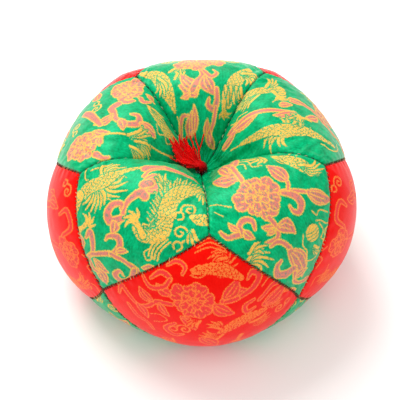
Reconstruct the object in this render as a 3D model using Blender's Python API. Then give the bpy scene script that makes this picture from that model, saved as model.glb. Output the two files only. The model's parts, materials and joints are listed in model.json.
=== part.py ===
"""Brocade pin cushion: fifteen cloth panels sewn over a filling, drawn in at the middle by a tie
that carries a thread tassel. Metres, +Z up, standing on z = 0 with -Y at the front."""

import math

import bmesh
import bpy
import numpy as np
from mathutils import Matrix, Vector

MM = 0.001

# Outline of the cushion, measured from its middle plane and its upright axis.
HALF_WIDTH = 55 * MM
SIDE_FULLNESS = 0.87  # below 1 squares the side, 1 is round
ARCH_FULLNESS = 0.85
FLANK_PULL = 2.8 * MM  # the side drawn in where four panels meet
PETAL_ARCH = 40.2 * MM  # height of a top petal before the dimple is drawn down
SEAM_ARCH = 45 * MM  # the same along a radial seam
PETAL_FUNNEL = 14 * MM  # spread of the dimple under a petal
SEAM_FUNNEL = 24 * MM  # spread of the dimple along a radial seam
DIMPLE_FLOOR = 16.1 * MM  # bottom of the top dimple above the middle plane
BASE_ARCH = 34.8 * MM
BASE_FUNNEL = 22 * MM
BASE_DIMPLE_DEPTH = 18.7 * MM  # how far the tie draws the base in from its arch
BASE_SEAM_LIFT = 5 * MM  # radial seams of the base held up off the table
SETTLING = 2 * MM  # how much of the lowest part of the base is pressed flat on the table
PUFF = 1.5 * MM  # rise of a panel's middle over its seams
SEAM_SINK = 0.5 * MM

# Seam layout: five petals, five side panels and five base petals, all four-cornered.
PETALS = 5
FRONT_SEAM_TURN = -89.5  # degrees, direction of the first radial seam
UPPER_CORNER_TILT = 44.2  # degrees down from the top to where a radial seam ends
UPPER_CORNER_DRIFT = ((3, 1), (2, 3), (0, -2), (2, -5), (2, 3))  # hand sewing: turn and tilt, degrees
FLANK_CORNER_DRIFT = ((2, 2), (0, 0), (0, 0), (0, 0), (-3, -2))

CLOTH = 1.0 * MM  # brocade with its turned-in allowance
SEAM_GAP = 0.4 * MM
FIT_GAP = 0.5 * MM  # cloth to filling
DIVISIONS = 8  # grid cells along one seam
POLE_CROWDING = 1.8  # above 1 gathers the grid towards the dimple
CROWDED_TILT = 34  # degrees from the axis within which it is gathered, short of every corner

# Tie through the middle, and the tassel on its upper end.
TIE_RADIUS = 0.7 * MM
TIE_OPENING = 1.7 * MM  # radius left between the petal tips
TIE_GAP = 0.4 * MM
TIE_KNOT_RADIUS = 3.2 * MM
TASSEL_KNOT_RADIUS = 2.0 * MM
TASSEL_LENGTH = 13 * MM
TASSEL_TURN = 145  # degrees, direction in which the tassel leans
TASSEL_LEAN = 28  # degrees from upright
LOCK_ROOT_RADIUS = 0.75 * MM
LOCK_TIP_RADIUS = 0.95 * MM
LOCK_GAP = 0.4 * MM
LOCK_SPREAD_WIDE = 2.2  # tip ring over root ring, sideways
LOCK_SPREAD_DEEP = 1.1  # the same, in the direction of the lean
OUTER_LOCKS = 6
LOCK_BOW = 0.5 * MM  # how far a lock curves outwards at its tip
LOCK_STEPS = 5
LOCK_SIDES = 8

THREAD_RADIUS = 0.3 * MM
RADIAL_CLEARANCE = 0.9 * MM  # thread to seam; a radial seam is a deep valley, so its thread lies higher
RIM_CLEARANCE = 0.5 * MM
THREAD_TRIM = 1.5 * MM  # threads stop short of a corner where others cross
THREAD_SIDES = 6

GREEN = (0.03, 0.50, 0.24)
RED = (0.85, 0.03, 0.03)
DARK_THREAD = (0.05, 0.08, 0.05)
TASSEL_RED = (0.75, 0.01, 0.01)
FILLING_GREY = (0.75, 0.72, 0.66)


def clear_scene():
    for item in list(bpy.data.objects):
        bpy.data.objects.remove(item, do_unlink=True)


def finish(name, colour, roughness):
    material = bpy.data.materials.new(name)
    material.use_nodes = True
    shader = material.node_tree.nodes["Principled BSDF"]
    shader.inputs["Base Color"].default_value = (*colour, 1)
    shader.inputs["Roughness"].default_value = roughness
    shader.inputs["Metallic"].default_value = 0.0
    return material


def add_object(name, shape, material, origin=(0, 0, 0), parent=None):
    """Make an object of a bmesh built in world places, with its origin at the given point."""
    place = Vector(origin)
    bmesh.ops.recalc_face_normals(shape, faces=shape.faces)
    bmesh.ops.translate(shape, verts=shape.verts, vec=-place)
    mesh = bpy.data.meshes.new(name)
    shape.to_mesh(mesh)
    shape.free()
    mesh.shade_smooth()
    mesh.set_sharp_from_angle(angle=math.radians(50))
    mesh.materials.append(material)
    item = bpy.data.objects.new(name, mesh)
    bpy.context.collection.objects.link(item)
    if parent is None:
        item.location = place
    else:
        item.parent = parent
        item.location = place - parent.location
    return item


def add_pivot(name, place):
    pivot = bpy.data.objects.new(name, None)
    bpy.context.collection.objects.link(pivot)
    pivot.location = place
    return pivot


# ---- the cushion's surface ----


def direction(tilt, turn):
    """Unit vector at a tilt from straight up and a turn about the axis, both in degrees."""
    tilt = math.radians(tilt)
    turn = math.radians(turn)
    return np.array([math.sin(tilt) * math.cos(turn), math.sin(tilt) * math.sin(turn), math.cos(tilt)])


def seam_turn(k):
    step = 360 / PETALS
    return FRONT_SEAM_TURN + step * k + UPPER_CORNER_DRIFT[k % PETALS][0]


def upper_corner(k):
    return direction(UPPER_CORNER_TILT + UPPER_CORNER_DRIFT[k % PETALS][1], seam_turn(k))


def flank_corner(k):
    turn, tilt = FLANK_CORNER_DRIFT[k % PETALS]
    step = 360 / PETALS
    return direction(90 + tilt, FRONT_SEAM_TURN + step * (k + 0.5) + turn)


def lower_corner(k):
    return direction(180 - UPPER_CORNER_TILT, seam_turn(k))


def lobe(turn):
    """0 on a radial seam, rising to 1 half-way between two."""
    knots = [seam_turn(k) for k in range(-1, PETALS + 2)]
    turned = np.mod(turn - knots[0], 360) + knots[0]
    return np.sin(np.pi * np.interp(turned, knots, range(len(knots))) % np.pi)


def surface(toward):
    """Place of the smooth cushion surface in the given unit directions, from the middle plane."""
    flat = np.hypot(toward[..., 0], toward[..., 1])
    up = np.abs(toward[..., 2])
    turn = np.arctan2(toward[..., 1], toward[..., 0])
    rise = lobe(np.degrees(turn))
    radius = HALF_WIDTH * flat ** SIDE_FULLNESS
    arch = up ** ARCH_FULLNESS
    seam = SEAM_ARCH * arch - (SEAM_ARCH - DIMPLE_FLOOR) * np.exp(-(radius / SEAM_FUNNEL) ** 2)
    petal = PETAL_ARCH * arch - (PETAL_ARCH - DIMPLE_FLOOR) * np.exp(-(radius / PETAL_FUNNEL) ** 2)
    top = seam + (petal - seam) * rise
    corner_radius = HALF_WIDTH * math.sin(math.radians(UPPER_CORNER_TILT)) ** SIDE_FULLNESS
    base = BASE_ARCH * arch - BASE_DIMPLE_DEPTH * np.exp(-(radius / BASE_FUNNEL) ** 2)
    inside = np.clip(1 - (radius / corner_radius) ** 4, 0, 1)
    near_axis = np.clip(radius / BASE_FUNNEL, 0, 1)
    base = base - BASE_SEAM_LIFT * (1 - rise) * inside * near_axis
    height = np.where(toward[..., 2] >= 0, top, -base)
    radius = radius - FLANK_PULL * rise ** 2 * flat ** 4
    return np.stack([radius * np.cos(turn), radius * np.sin(turn), height], -1)


def outward(toward):
    """Normals of the cushion without its lobes, the same for both panels at a seam."""
    flat = np.hypot(toward[..., 0], toward[..., 1])
    tilt = np.arctan2(flat, toward[..., 2])
    turn = np.arctan2(toward[..., 1], toward[..., 0])
    step = 0.01
    ends = []
    for angle in (np.clip(tilt - step, 0, np.pi), np.clip(tilt + step, 0, np.pi)):
        radius = HALF_WIDTH * np.sin(angle) ** SIDE_FULLNESS
        up = np.abs(np.cos(angle)) ** ARCH_FULLNESS
        mean_arch = (SEAM_ARCH + PETAL_ARCH) / 2
        mean_funnel = (SEAM_FUNNEL + PETAL_FUNNEL) / 2
        top = mean_arch * up - (mean_arch - DIMPLE_FLOOR) * np.exp(-(radius / mean_funnel) ** 2)
        base = BASE_ARCH * up - BASE_DIMPLE_DEPTH * np.exp(-(radius / BASE_FUNNEL) ** 2)
        ends.append((radius, np.where(np.cos(angle) >= 0, top, -base)))
    along = ends[1][0] - ends[0][0]
    climb = ends[1][1] - ends[0][1]
    length = np.hypot(along, climb)
    return np.stack([-climb / length * np.cos(turn), -climb / length * np.sin(turn), along / length], -1)


def panel_corners(kind, k):
    if kind == "top":
        return direction(0, 0), upper_corner(k), flank_corner(k), upper_corner(k + 1)
    if kind == "side":
        return upper_corner(k), flank_corner(k), lower_corner(k), flank_corner(k - 1)
    return direction(180, 0), lower_corner(k + 1), flank_corner(k), lower_corner(k)


def crowd_to_pole(toward):
    """Gather directions towards the poles and keep them outside the opening for the tie."""
    limit = math.radians(CROWDED_TILT)
    opening = math.asin((TIE_OPENING / HALF_WIDTH) ** (1 / SIDE_FULLNESS))
    flat = np.hypot(toward[..., 0], toward[..., 1])
    tilt = np.arctan2(flat, np.abs(toward[..., 2]))
    crowded = opening + (limit - opening) * (tilt / limit) ** POLE_CROWDING
    tilt = np.where(tilt < limit, crowded, tilt)
    scale = np.sin(tilt) / np.maximum(flat, 1e-9)
    height = np.where(toward[..., 2] >= 0, np.cos(tilt), -np.cos(tilt))
    return np.stack([toward[..., 0] * scale, toward[..., 1] * scale, height], -1)


def face_grid(kind, k, margin):
    """Directions and places over one panel, a margin of its width in from the seams."""
    corners = panel_corners(kind, k)
    steps = margin + (1 - 2 * margin) * np.linspace(0, 1, DIVISIONS + 1)
    u, v = np.meshgrid(steps, steps, indexing="ij")
    across = u[..., None]
    down = v[..., None]
    toward = (1 - across) * (1 - down) * corners[0] + across * (1 - down) * corners[1]
    toward = toward + across * down * corners[2] + (1 - across) * down * corners[3]
    toward = toward / np.linalg.norm(toward, axis=-1, keepdims=True)
    if kind != "side":
        middle = corners[1] + corners[3]
        toward[0, 0, :2] = middle[:2] / np.linalg.norm(middle[:2]) * 1e-6
        toward = crowd_to_pole(toward)
    swell = PUFF * np.sqrt(np.clip(16 * u * (1 - u) * v * (1 - v), 0, 1)) - SEAM_SINK
    return toward, surface(toward) + outward(toward) * swell[..., None]


def stand_point():
    """The table's point under the middle of the sewn outline, which the model is moved to stand on."""
    outline = np.concatenate([face_grid("side", k, 0)[1].reshape(-1, 3) for k in range(PETALS)])
    middle = (outline.min(axis=0) + outline.max(axis=0)) / 2
    lowest = min(face_grid("base", k, 0)[1][..., 2].min() for k in range(PETALS))
    return np.array([middle[0], middle[1], lowest + SETTLING])


STAND_POINT = stand_point()
AXIS = Vector((-STAND_POINT[0], -STAND_POINT[1], 0))  # where the tie runs
MIDDLE_HEIGHT = -STAND_POINT[2]  # middle plane above the table


def panel_grid(kind, k, margin, depth):
    """Points at a depth under one panel's surface, which the table presses flat from below."""
    toward, points = face_grid(kind, k, margin)
    points[..., 2] = np.maximum(points[..., 2], STAND_POINT[2])
    return points - outward(toward) * depth


def place(points):
    return points - STAND_POINT


# ---- cloth and filling ----


def grid_faces(shape, rows):
    """Two triangles a cell, parted along the line that runs round the dimple."""
    for i in range(DIVISIONS):
        for j in range(DIVISIONS):
            right = rows[i + 1][j]
            left = rows[i][j + 1]
            shape.faces.new((rows[i][j], right, left))
            shape.faces.new((right, rows[i + 1][j + 1], left))


def add_rows(shape, points):
    return [[shape.verts.new(point) for point in row] for row in points]


def border(rows):
    last = DIVISIONS
    edge = [rows[i][0] for i in range(last)]
    edge += [rows[last][j] for j in range(last)]
    edge += [rows[i][last] for i in range(last, 0, -1)]
    edge += [rows[0][j] for j in range(last, 0, -1)]
    return edge


def add_panel(name, kind, k, material):
    """One cut piece of brocade, stopped half a seam gap before each seam."""
    seam_length = HALF_WIDTH * math.radians(UPPER_CORNER_TILT)
    margin = SEAM_GAP / 2 / seam_length
    shape = bmesh.new()
    outer = add_rows(shape, place(panel_grid(kind, k, margin, 0)))
    inner = add_rows(shape, place(panel_grid(kind, k, margin, CLOTH)))
    grid_faces(shape, outer)
    grid_faces(shape, inner)
    outer_edge = border(outer)
    inner_edge = border(inner)
    for i, corner in enumerate(outer_edge):
        after = (i + 1) % len(outer_edge)
        shape.faces.new((corner, outer_edge[after], inner_edge[after], inner_edge[i]))
    return add_object(name, shape, material)


def add_filling(name, material):
    """The stuffing, a fit gap inside the cloth, with a channel for the tie down its middle."""
    shape = bmesh.new()
    for kind in ("top", "side", "base"):
        for k in range(PETALS):
            grid_faces(shape, add_rows(shape, place(panel_grid(kind, k, 0, CLOTH + FIT_GAP))))
    bmesh.ops.remove_doubles(shape, verts=shape.verts, dist=0.01 * MM)
    mouths = [edge for edge in shape.edges if edge.is_boundary]
    bmesh.ops.bridge_loops(shape, edges=mouths)
    return add_object(name, shape, material)


# ---- threads, tie and tassel ----


def sweep(centres, radii, sides=THREAD_SIDES, closed=False):
    """A round strand along a line of centres, capped unless it closes on itself."""
    shape = bmesh.new()
    centres = [Vector(point) for point in centres]
    count = len(centres)
    rings = []
    side = None
    for i, centre in enumerate(centres):
        before = centres[(i - 1) % count] if closed or i > 0 else centre
        after = centres[(i + 1) % count] if closed or i < count - 1 else centre
        along = (after - before).normalized()
        if side is None:
            side = along.orthogonal().normalized()
        side = (side - along * side.dot(along)).normalized()
        other = along.cross(side)
        ring = []
        for j in range(sides):
            angle = 2 * math.pi * j / sides
            spoke = side * math.cos(angle) + other * math.sin(angle)
            ring.append(shape.verts.new(centre + spoke * radii[i]))
        rings.append(ring)
    for i in range(count if closed else count - 1):
        here = rings[i]
        there = rings[(i + 1) % count]
        shift = nearest_start(here, there) if closed and i == count - 1 else 0
        for j in range(sides):
            shape.faces.new((here[j], here[(j + 1) % sides],
                             there[(j + 1 + shift) % sides], there[(j + shift) % sides]))
    if not closed:
        shape.faces.new(rings[0])
        shape.faces.new(rings[-1])
    return shape


def nearest_start(ring, other):
    """How far the last ring is turned against the first one of a closed strand."""
    gaps = [(ring[0].co - corner.co).length for corner in other]
    return gaps.index(min(gaps))


def seam_line(first, second, clearance):
    """Thread centres over the seam between two corners, on the same grid lines as its panels."""
    steps = np.linspace(0, 1, DIVISIONS + 1)[:, None]
    toward = (1 - steps) * first + steps * second
    toward = toward / np.linalg.norm(toward, axis=-1, keepdims=True)
    if abs(first[2]) > 1 - 1e-9:
        toward[0, :2] = second[:2] / np.linalg.norm(second[:2]) * 1e-6
        toward = crowd_to_pole(toward)
    points = surface(toward) + outward(toward) * (clearance + THREAD_RADIUS - SEAM_SINK)
    points[:, 2] = np.maximum(points[:, 2], STAND_POINT[2] + THREAD_RADIUS)
    return place(points)


def trimmed(line, at_start, at_end):
    """The line cut back from its ends by the thread trim."""
    line = [Vector(point) for point in line]
    if at_start:
        line[0] = line[0] + (line[1] - line[0]).normalized() * THREAD_TRIM
    if at_end:
        line[-1] = line[-1] + (line[-2] - line[-1]).normalized() * THREAD_TRIM
    return line


def add_radial_thread(name, pole, corner, material):
    line = trimmed(seam_line(pole, corner, RADIAL_CLEARANCE)[1:], False, True)
    add_object(name, sweep(line, [THREAD_RADIUS] * len(line)), material)


def add_rim_thread(name, corner, material):
    """The zigzag seam round the cushion, rounded off where the upper and lower one meet."""
    line = []
    for k in range(PETALS):
        line += trimmed(seam_line(corner(k), flank_corner(k), RIM_CLEARANCE), False, True)
        back = seam_line(corner(k + 1), flank_corner(k), RIM_CLEARANCE)
        line += trimmed(back, False, True)[:0:-1]
    add_object(name, sweep(line, [THREAD_RADIUS] * len(line), closed=True), material)


def add_knot(name, centre, radius, material, parent=None):
    shape = bmesh.new()
    bmesh.ops.create_uvsphere(shape, u_segments=12, v_segments=8, radius=radius,
                              matrix=Matrix.Translation(centre))
    add_object(name, shape, material, origin=centre, parent=parent)


def knot_seat(radius):
    """Height of a knot's centre over the opening that it is too big to pass."""
    reach = radius + TIE_GAP
    return math.sqrt(max(reach ** 2 - TIE_OPENING ** 2, 0))


def lock_line(root_offset, tip_offset, lean, start):
    """One lock from the knot to its tip, bowed outwards."""
    points = []
    for i in range(LOCK_STEPS + 1):
        share = i / LOCK_STEPS
        bow = root_offset.normalized() * LOCK_BOW * share ** 2 if root_offset.length > 0 else Vector()
        along = lean * (start + (TASSEL_LENGTH - start) * share)
        points.append(along + root_offset.lerp(tip_offset, share) + bow)
    return points


def add_tassel(pivot, material):
    turn = math.radians(TASSEL_TURN)
    tilt = math.radians(TASSEL_LEAN)
    lean = Vector((math.sin(tilt) * math.cos(turn), math.sin(tilt) * math.sin(turn), math.cos(tilt)))
    wide = Vector((-math.sin(turn), math.cos(turn), 0))
    deep = wide.cross(lean)
    ring = 2 * LOCK_ROOT_RADIUS + LOCK_GAP
    start = TASSEL_KNOT_RADIUS + TIE_GAP
    swelling = LOCK_TIP_RADIUS - LOCK_ROOT_RADIUS
    radii = [LOCK_ROOT_RADIUS + swelling * i / LOCK_STEPS for i in range(LOCK_STEPS + 1)]
    for i in range(OUTER_LOCKS + 1):
        offset = Vector((0, 0))
        if i > 0:
            angle = 2 * math.pi * i / OUTER_LOCKS
            offset = Vector((math.cos(angle), math.sin(angle))) * ring
        root = wide * offset.x + deep * offset.y
        tip = wide * offset.x * LOCK_SPREAD_WIDE + deep * offset.y * LOCK_SPREAD_DEEP
        line = [pivot.location + point for point in lock_line(root, tip, lean, start)]
        add_object(f"tassel_lock_{i + 1}", sweep(line, radii, sides=LOCK_SIDES), material,
                   origin=pivot.location, parent=pivot)


def build():
    clear_scene()
    green = finish("green_brocade", GREEN, 0.4)
    red = finish("red_brocade", RED, 0.4)
    dark = finish("sewing_thread", DARK_THREAD, 0.6)
    silk = finish("tassel_thread", TASSEL_RED, 0.5)
    stuffing = finish("stuffing", FILLING_GREY, 0.9)
    top_pole = direction(0, 0)
    base_pole = direction(180, 0)

    add_filling("filling", stuffing)
    for k in range(PETALS):
        add_panel(f"top_petal_{k + 1}", "top", k, green)
        add_panel(f"side_panel_{k + 1}", "side", k, red)
        add_panel(f"base_petal_{k + 1}", "base", k, green)
        add_radial_thread(f"top_seam_thread_{k + 1}", top_pole, upper_corner(k), dark)
        add_radial_thread(f"base_seam_thread_{k + 1}", base_pole, lower_corner(k), dark)
    add_rim_thread("upper_rim_thread", upper_corner, dark)
    add_rim_thread("lower_rim_thread", lower_corner, dark)

    dimple = AXIS + Vector((0, 0, MIDDLE_HEIGHT + DIMPLE_FLOOR))
    hollow = AXIS + Vector((0, 0, MIDDLE_HEIGHT - BASE_ARCH + BASE_DIMPLE_DEPTH))
    knot = dimple + Vector((0, 0, knot_seat(TASSEL_KNOT_RADIUS)))
    lower_knot = hollow - Vector((0, 0, knot_seat(TIE_KNOT_RADIUS)))
    add_knot("tie_knot", lower_knot, TIE_KNOT_RADIUS, silk)
    tie_top = knot - Vector((0, 0, TASSEL_KNOT_RADIUS + TIE_GAP))
    tie_end = lower_knot + Vector((0, 0, TIE_KNOT_RADIUS + TIE_GAP))
    add_object("tie_cord", sweep([tie_end, tie_top], [TIE_RADIUS] * 2, sides=LOCK_SIDES), silk)
    pivot = add_pivot("tassel_pivot", knot)
    add_knot("tassel_knot", knot, TASSEL_KNOT_RADIUS, silk, parent=pivot)
    add_tassel(pivot, silk)


build()
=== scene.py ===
import json
import math

import bmesh
import bpy
import numpy as np
from mathutils import Matrix, Vector

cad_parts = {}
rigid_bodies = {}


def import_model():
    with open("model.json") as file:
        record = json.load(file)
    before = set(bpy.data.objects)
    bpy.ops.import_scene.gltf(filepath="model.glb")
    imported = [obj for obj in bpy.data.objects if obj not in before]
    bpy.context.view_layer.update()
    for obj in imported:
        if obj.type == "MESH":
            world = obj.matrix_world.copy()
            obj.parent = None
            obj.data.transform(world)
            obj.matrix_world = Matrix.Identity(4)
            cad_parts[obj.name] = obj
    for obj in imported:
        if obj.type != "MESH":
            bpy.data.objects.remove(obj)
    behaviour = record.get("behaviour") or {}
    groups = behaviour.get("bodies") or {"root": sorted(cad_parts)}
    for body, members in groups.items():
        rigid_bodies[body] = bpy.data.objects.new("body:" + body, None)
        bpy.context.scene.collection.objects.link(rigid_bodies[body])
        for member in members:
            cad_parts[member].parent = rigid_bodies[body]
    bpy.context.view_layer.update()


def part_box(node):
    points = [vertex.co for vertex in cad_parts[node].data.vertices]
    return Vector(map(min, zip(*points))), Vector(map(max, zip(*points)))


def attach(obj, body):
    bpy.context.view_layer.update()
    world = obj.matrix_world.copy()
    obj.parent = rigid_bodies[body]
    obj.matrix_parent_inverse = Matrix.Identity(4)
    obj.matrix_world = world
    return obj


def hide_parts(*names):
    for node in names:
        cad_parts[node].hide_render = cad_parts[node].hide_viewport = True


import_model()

# ---- Table top and studio ----
# A matt white table top under wide soft lamps, which lift the sheen of the satin without hard glints.

MM = 0.001
CAMERA_TILT = 50  # degrees down from level
CAMERA_DISTANCE = 319 * MM
CAMERA_HEIGHT = 26.5 * MM  # height of the point it looks at
CAMERA_LENS = 80  # mm, on a 36 mm sensor
CAMERA_SHIFT = (-0.003, -0.0007)
TABLE_SIZE = 3.0
WORLD_STRENGTH = 0.79
LAMPS = (("back_lamp", (-0.28, 0.42, 0.72), 0.5, 6.4),  # place in metres, width in metres, power in watts
         ("front_lamp", (0.1, -0.4, 0.8), 0.8, 1.2))
WHITE = "#FFFFFF"

tie_low, tie_high = (np.array(corner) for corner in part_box("tie_cord"))
AXIS = (tie_low + tie_high) / 2 * (1, 1, 0)


def linear(hex_colour):
    """An sRGB hex colour as the linear colour a socket takes."""
    shares = [int(hex_colour[i:i + 2], 16) / 255 for i in (1, 3, 5)]
    return (*(s / 12.92 if s <= 0.04045 else ((s + 0.055) / 1.055) ** 2.4 for s in shares), 1.0)


def add_node(tree, kind, inputs=(), **settings):
    """One node with its settings; an input is a value, another node's output, or a node for its first."""
    node = tree.nodes.new(kind)
    for name, value in settings.items():
        setattr(node, name, value)
    for key, value in dict(inputs).items():
        if isinstance(value, bpy.types.Node):
            value = value.outputs[0]
        if isinstance(value, bpy.types.NodeSocket):
            tree.links.new(value, node.inputs[key])
        else:
            node.inputs[key].default_value = value
    return node


def new_material(name):
    """A material and its empty node tree."""
    material = bpy.data.materials.new(name)
    material.use_nodes = True
    material.node_tree.nodes.clear()
    return material, material.node_tree


def add_shader(tree, inputs):
    """The shader that a material's tree ends in."""
    add_node(tree, "ShaderNodeOutputMaterial",
             {"Surface": add_node(tree, "ShaderNodeBsdfPrincipled", inputs)})


def matt_table_top():
    """Matt white laminate: no pattern at this distance, only the faintest mottling in its white."""
    material, tree = new_material("matt_white_laminate")
    place = add_node(tree, "ShaderNodeTexCoord")
    mottle = add_node(tree, "ShaderNodeTexNoise", {"Vector": place.outputs["Object"], "Scale": 9.0})
    tint = add_node(tree, "ShaderNodeMix", {0: mottle, 6: linear("#FBF9F7"), 7: linear("#FFFDFB")},
                    data_type="RGBA")
    add_shader(tree, {"Base Color": tint.outputs[2], "Roughness": 0.7})
    return material


def add_lamp(name, place, size, power):
    """A square soft lamp that faces the cushion."""
    data = bpy.data.lights.new(name, "AREA")
    data.shape = "SQUARE"
    data.size = size
    data.energy = power
    lamp = bpy.data.objects.new(name, data)
    facing = (-Vector(place)).to_track_quat("-Z", "Y")
    lamp.matrix_world = Matrix.Translation(place) @ facing.to_matrix().to_4x4()
    bpy.context.collection.objects.link(lamp)


def add_object(mesh):
    item = bpy.data.objects.new(mesh.name, mesh)
    bpy.context.collection.objects.link(item)
    return item


def build_studio():
    half = TABLE_SIZE / 2
    mesh = bpy.data.meshes.new("table_top")
    corners = [(-half, -half, 0), (half, -half, 0), (half, half, 0), (-half, half, 0)]
    mesh.from_pydata(corners, [], [(0, 1, 2, 3)])
    mesh.materials.append(matt_table_top())
    add_object(mesh)

    world = bpy.data.worlds.new("studio")
    world.use_nodes = True
    sky = world.node_tree.nodes["Background"].inputs
    sky["Color"].default_value = linear(WHITE)
    sky["Strength"].default_value = WORLD_STRENGTH
    bpy.context.scene.world = world
    for lamp in LAMPS:
        add_lamp(*lamp)

    camera = bpy.data.objects.new("camera", bpy.data.cameras.new("camera"))
    bpy.context.collection.objects.link(camera)
    tilt = math.radians(CAMERA_TILT)
    camera.location = (AXIS[0], AXIS[1] - CAMERA_DISTANCE * math.cos(tilt),
                       CAMERA_HEIGHT + CAMERA_DISTANCE * math.sin(tilt))
    camera.rotation_euler = (math.radians(90 - CAMERA_TILT), 0, 0)
    camera.data.lens = CAMERA_LENS
    camera.data.shift_x, camera.data.shift_y = CAMERA_SHIFT
    camera.data.clip_start = 0.01
    bpy.context.scene.camera = camera
    bpy.context.scene.view_settings.view_transform = "Standard"


build_studio()

# ---- Filling ----
# Polyester wadding, pulled from a bag in tufts and packed in by hand until the cover is tight.
# It lies just inside the cloth, with a channel down the middle for the tie.

PETALS = 5
MIDDLE_HEIGHT = 26.51 * MM  # the widest level above the table
HALF_WIDTH = 55 * MM
SIDE_FULLNESS = 0.87  # below 1 squares the side, 1 is round
ARCH_FULLNESS = 0.85
FLANK_PULL = 2.8 * MM  # the side drawn in where four panels meet
PETAL_ARCH = 40.2 * MM  # height of a top petal before the tie draws it down
SEAM_ARCH = 45 * MM  # the same along a radial seam
PETAL_FUNNEL = 14 * MM
SEAM_FUNNEL = 24 * MM
DIMPLE_FLOOR = 16.1 * MM  # bottom of the top dimple over the widest level
BASE_ARCH = 34.8 * MM
BASE_FUNNEL = 22 * MM
BASE_DIMPLE_DEPTH = 18.7 * MM
BASE_SEAM_LIFT = 5 * MM
SEAM_SINK = 0.5 * MM
FRONT_SEAM_TURN = -89.5  # degrees
UPPER_CORNER_TILT = 44.2  # degrees down from the top to where a radial seam ends
UPPER_CORNER_DRIFT = ((3, 1), (2, 3), (0, -2), (2, -5), (2, 3))  # hand sewing: turn and tilt
FLANK_CORNER_DRIFT = ((2, 2), (0, 0), (0, 0), (0, 0), (-3, -2))
TIE_OPENING = 1.7 * MM  # radius left between the petal tips
POLE_CROWDING = 1.8
CROWDED_TILT = 34
WADDING_DEPTH = 2.4 * MM  # under the cloth's face
WADDING_TUFT = 0.7 * MM
FILLING_CELLS = 40


def direction(tilt, turn):
    """Unit vector at a tilt from straight up and a turn about the axis, both in degrees."""
    tilt = math.radians(tilt)
    turn = math.radians(turn)
    return np.array([math.sin(tilt) * math.cos(turn), math.sin(tilt) * math.sin(turn), math.cos(tilt)])


def seam_turn(k):
    return FRONT_SEAM_TURN + 360 / PETALS * k + UPPER_CORNER_DRIFT[k % PETALS][0]


def upper_corner(k):
    return direction(UPPER_CORNER_TILT + UPPER_CORNER_DRIFT[k % PETALS][1], seam_turn(k))


def flank_corner(k):
    turn, tilt = FLANK_CORNER_DRIFT[k % PETALS]
    return direction(90 + tilt, FRONT_SEAM_TURN + 360 / PETALS * (k + 0.5) + turn)


def lower_corner(k):
    return direction(180 - UPPER_CORNER_TILT, seam_turn(k))


def lobe(turn):
    """0 on a radial seam, rising to 1 half-way between two."""
    knots = [seam_turn(k) for k in range(-1, PETALS + 2)]
    turned = np.mod(turn - knots[0], 360) + knots[0]
    return np.sin(np.pi * np.interp(turned, knots, range(len(knots))) % np.pi)


def funnelled(arch, up, depth, radius, spread):
    """Height of an arch that the tie draws down in the middle."""
    return arch * up ** ARCH_FULLNESS - depth * np.exp(-(radius / spread) ** 2)


def surface(toward):
    """Place of the sewn shape in the given unit directions, from the middle of its widest level."""
    flat = np.hypot(toward[..., 0], toward[..., 1])
    up = np.abs(toward[..., 2])
    turn = np.arctan2(toward[..., 1], toward[..., 0])
    rise = lobe(np.degrees(turn))
    radius = HALF_WIDTH * flat ** SIDE_FULLNESS
    seam = funnelled(SEAM_ARCH, up, SEAM_ARCH - DIMPLE_FLOOR, radius, SEAM_FUNNEL)
    petal = funnelled(PETAL_ARCH, up, PETAL_ARCH - DIMPLE_FLOOR, radius, PETAL_FUNNEL)
    corner_radius = HALF_WIDTH * math.sin(math.radians(UPPER_CORNER_TILT)) ** SIDE_FULLNESS
    base = funnelled(BASE_ARCH, up, BASE_DIMPLE_DEPTH, radius, BASE_FUNNEL)
    inside = np.clip(1 - (radius / corner_radius) ** 4, 0, 1)
    base = base - BASE_SEAM_LIFT * (1 - rise) * inside * np.clip(radius / BASE_FUNNEL, 0, 1)
    height = np.where(toward[..., 2] >= 0, seam + (petal - seam) * rise, -base)
    radius = radius - FLANK_PULL * rise ** 2 * flat ** 4
    return np.stack([radius * np.cos(turn), radius * np.sin(turn), height], -1)


def outward(toward):
    """Normals of the shape without its lobes, the same for both panels at a seam."""
    tilt = np.arctan2(np.hypot(toward[..., 0], toward[..., 1]), toward[..., 2])
    turn = np.arctan2(toward[..., 1], toward[..., 0])
    arch = (SEAM_ARCH + PETAL_ARCH) / 2
    funnel = (SEAM_FUNNEL + PETAL_FUNNEL) / 2
    ends = []
    for step in (-0.01, 0.01):
        angle = np.clip(tilt + step, 0, np.pi)
        radius = HALF_WIDTH * np.sin(angle) ** SIDE_FULLNESS
        up = np.abs(np.cos(angle))
        top = funnelled(arch, up, arch - DIMPLE_FLOOR, radius, funnel)
        base = funnelled(BASE_ARCH, up, BASE_DIMPLE_DEPTH, radius, BASE_FUNNEL)
        ends.append((radius, np.where(np.cos(angle) >= 0, top, -base)))
    along = ends[1][0] - ends[0][0]
    climb = ends[1][1] - ends[0][1]
    length = np.hypot(along, climb)
    return np.stack([-climb / length * np.cos(turn), -climb / length * np.sin(turn), along / length], -1)


def crowd_to_pole(toward):
    """Gather directions towards the poles and keep them outside the opening for the tie."""
    limit = math.radians(CROWDED_TILT)
    opening = math.asin((TIE_OPENING / HALF_WIDTH) ** (1 / SIDE_FULLNESS))
    flat = np.hypot(toward[..., 0], toward[..., 1])
    tilt = np.arctan2(flat, np.abs(toward[..., 2]))
    crowded = opening + (limit - opening) * (tilt / limit) ** POLE_CROWDING
    tilt = np.where(tilt < limit, crowded, tilt)
    scale = np.sin(tilt) / np.maximum(flat, 1e-9)
    height = np.where(toward[..., 2] >= 0, np.cos(tilt), -np.cos(tilt))
    return np.stack([toward[..., 0] * scale, toward[..., 1] * scale, height], -1)


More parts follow.
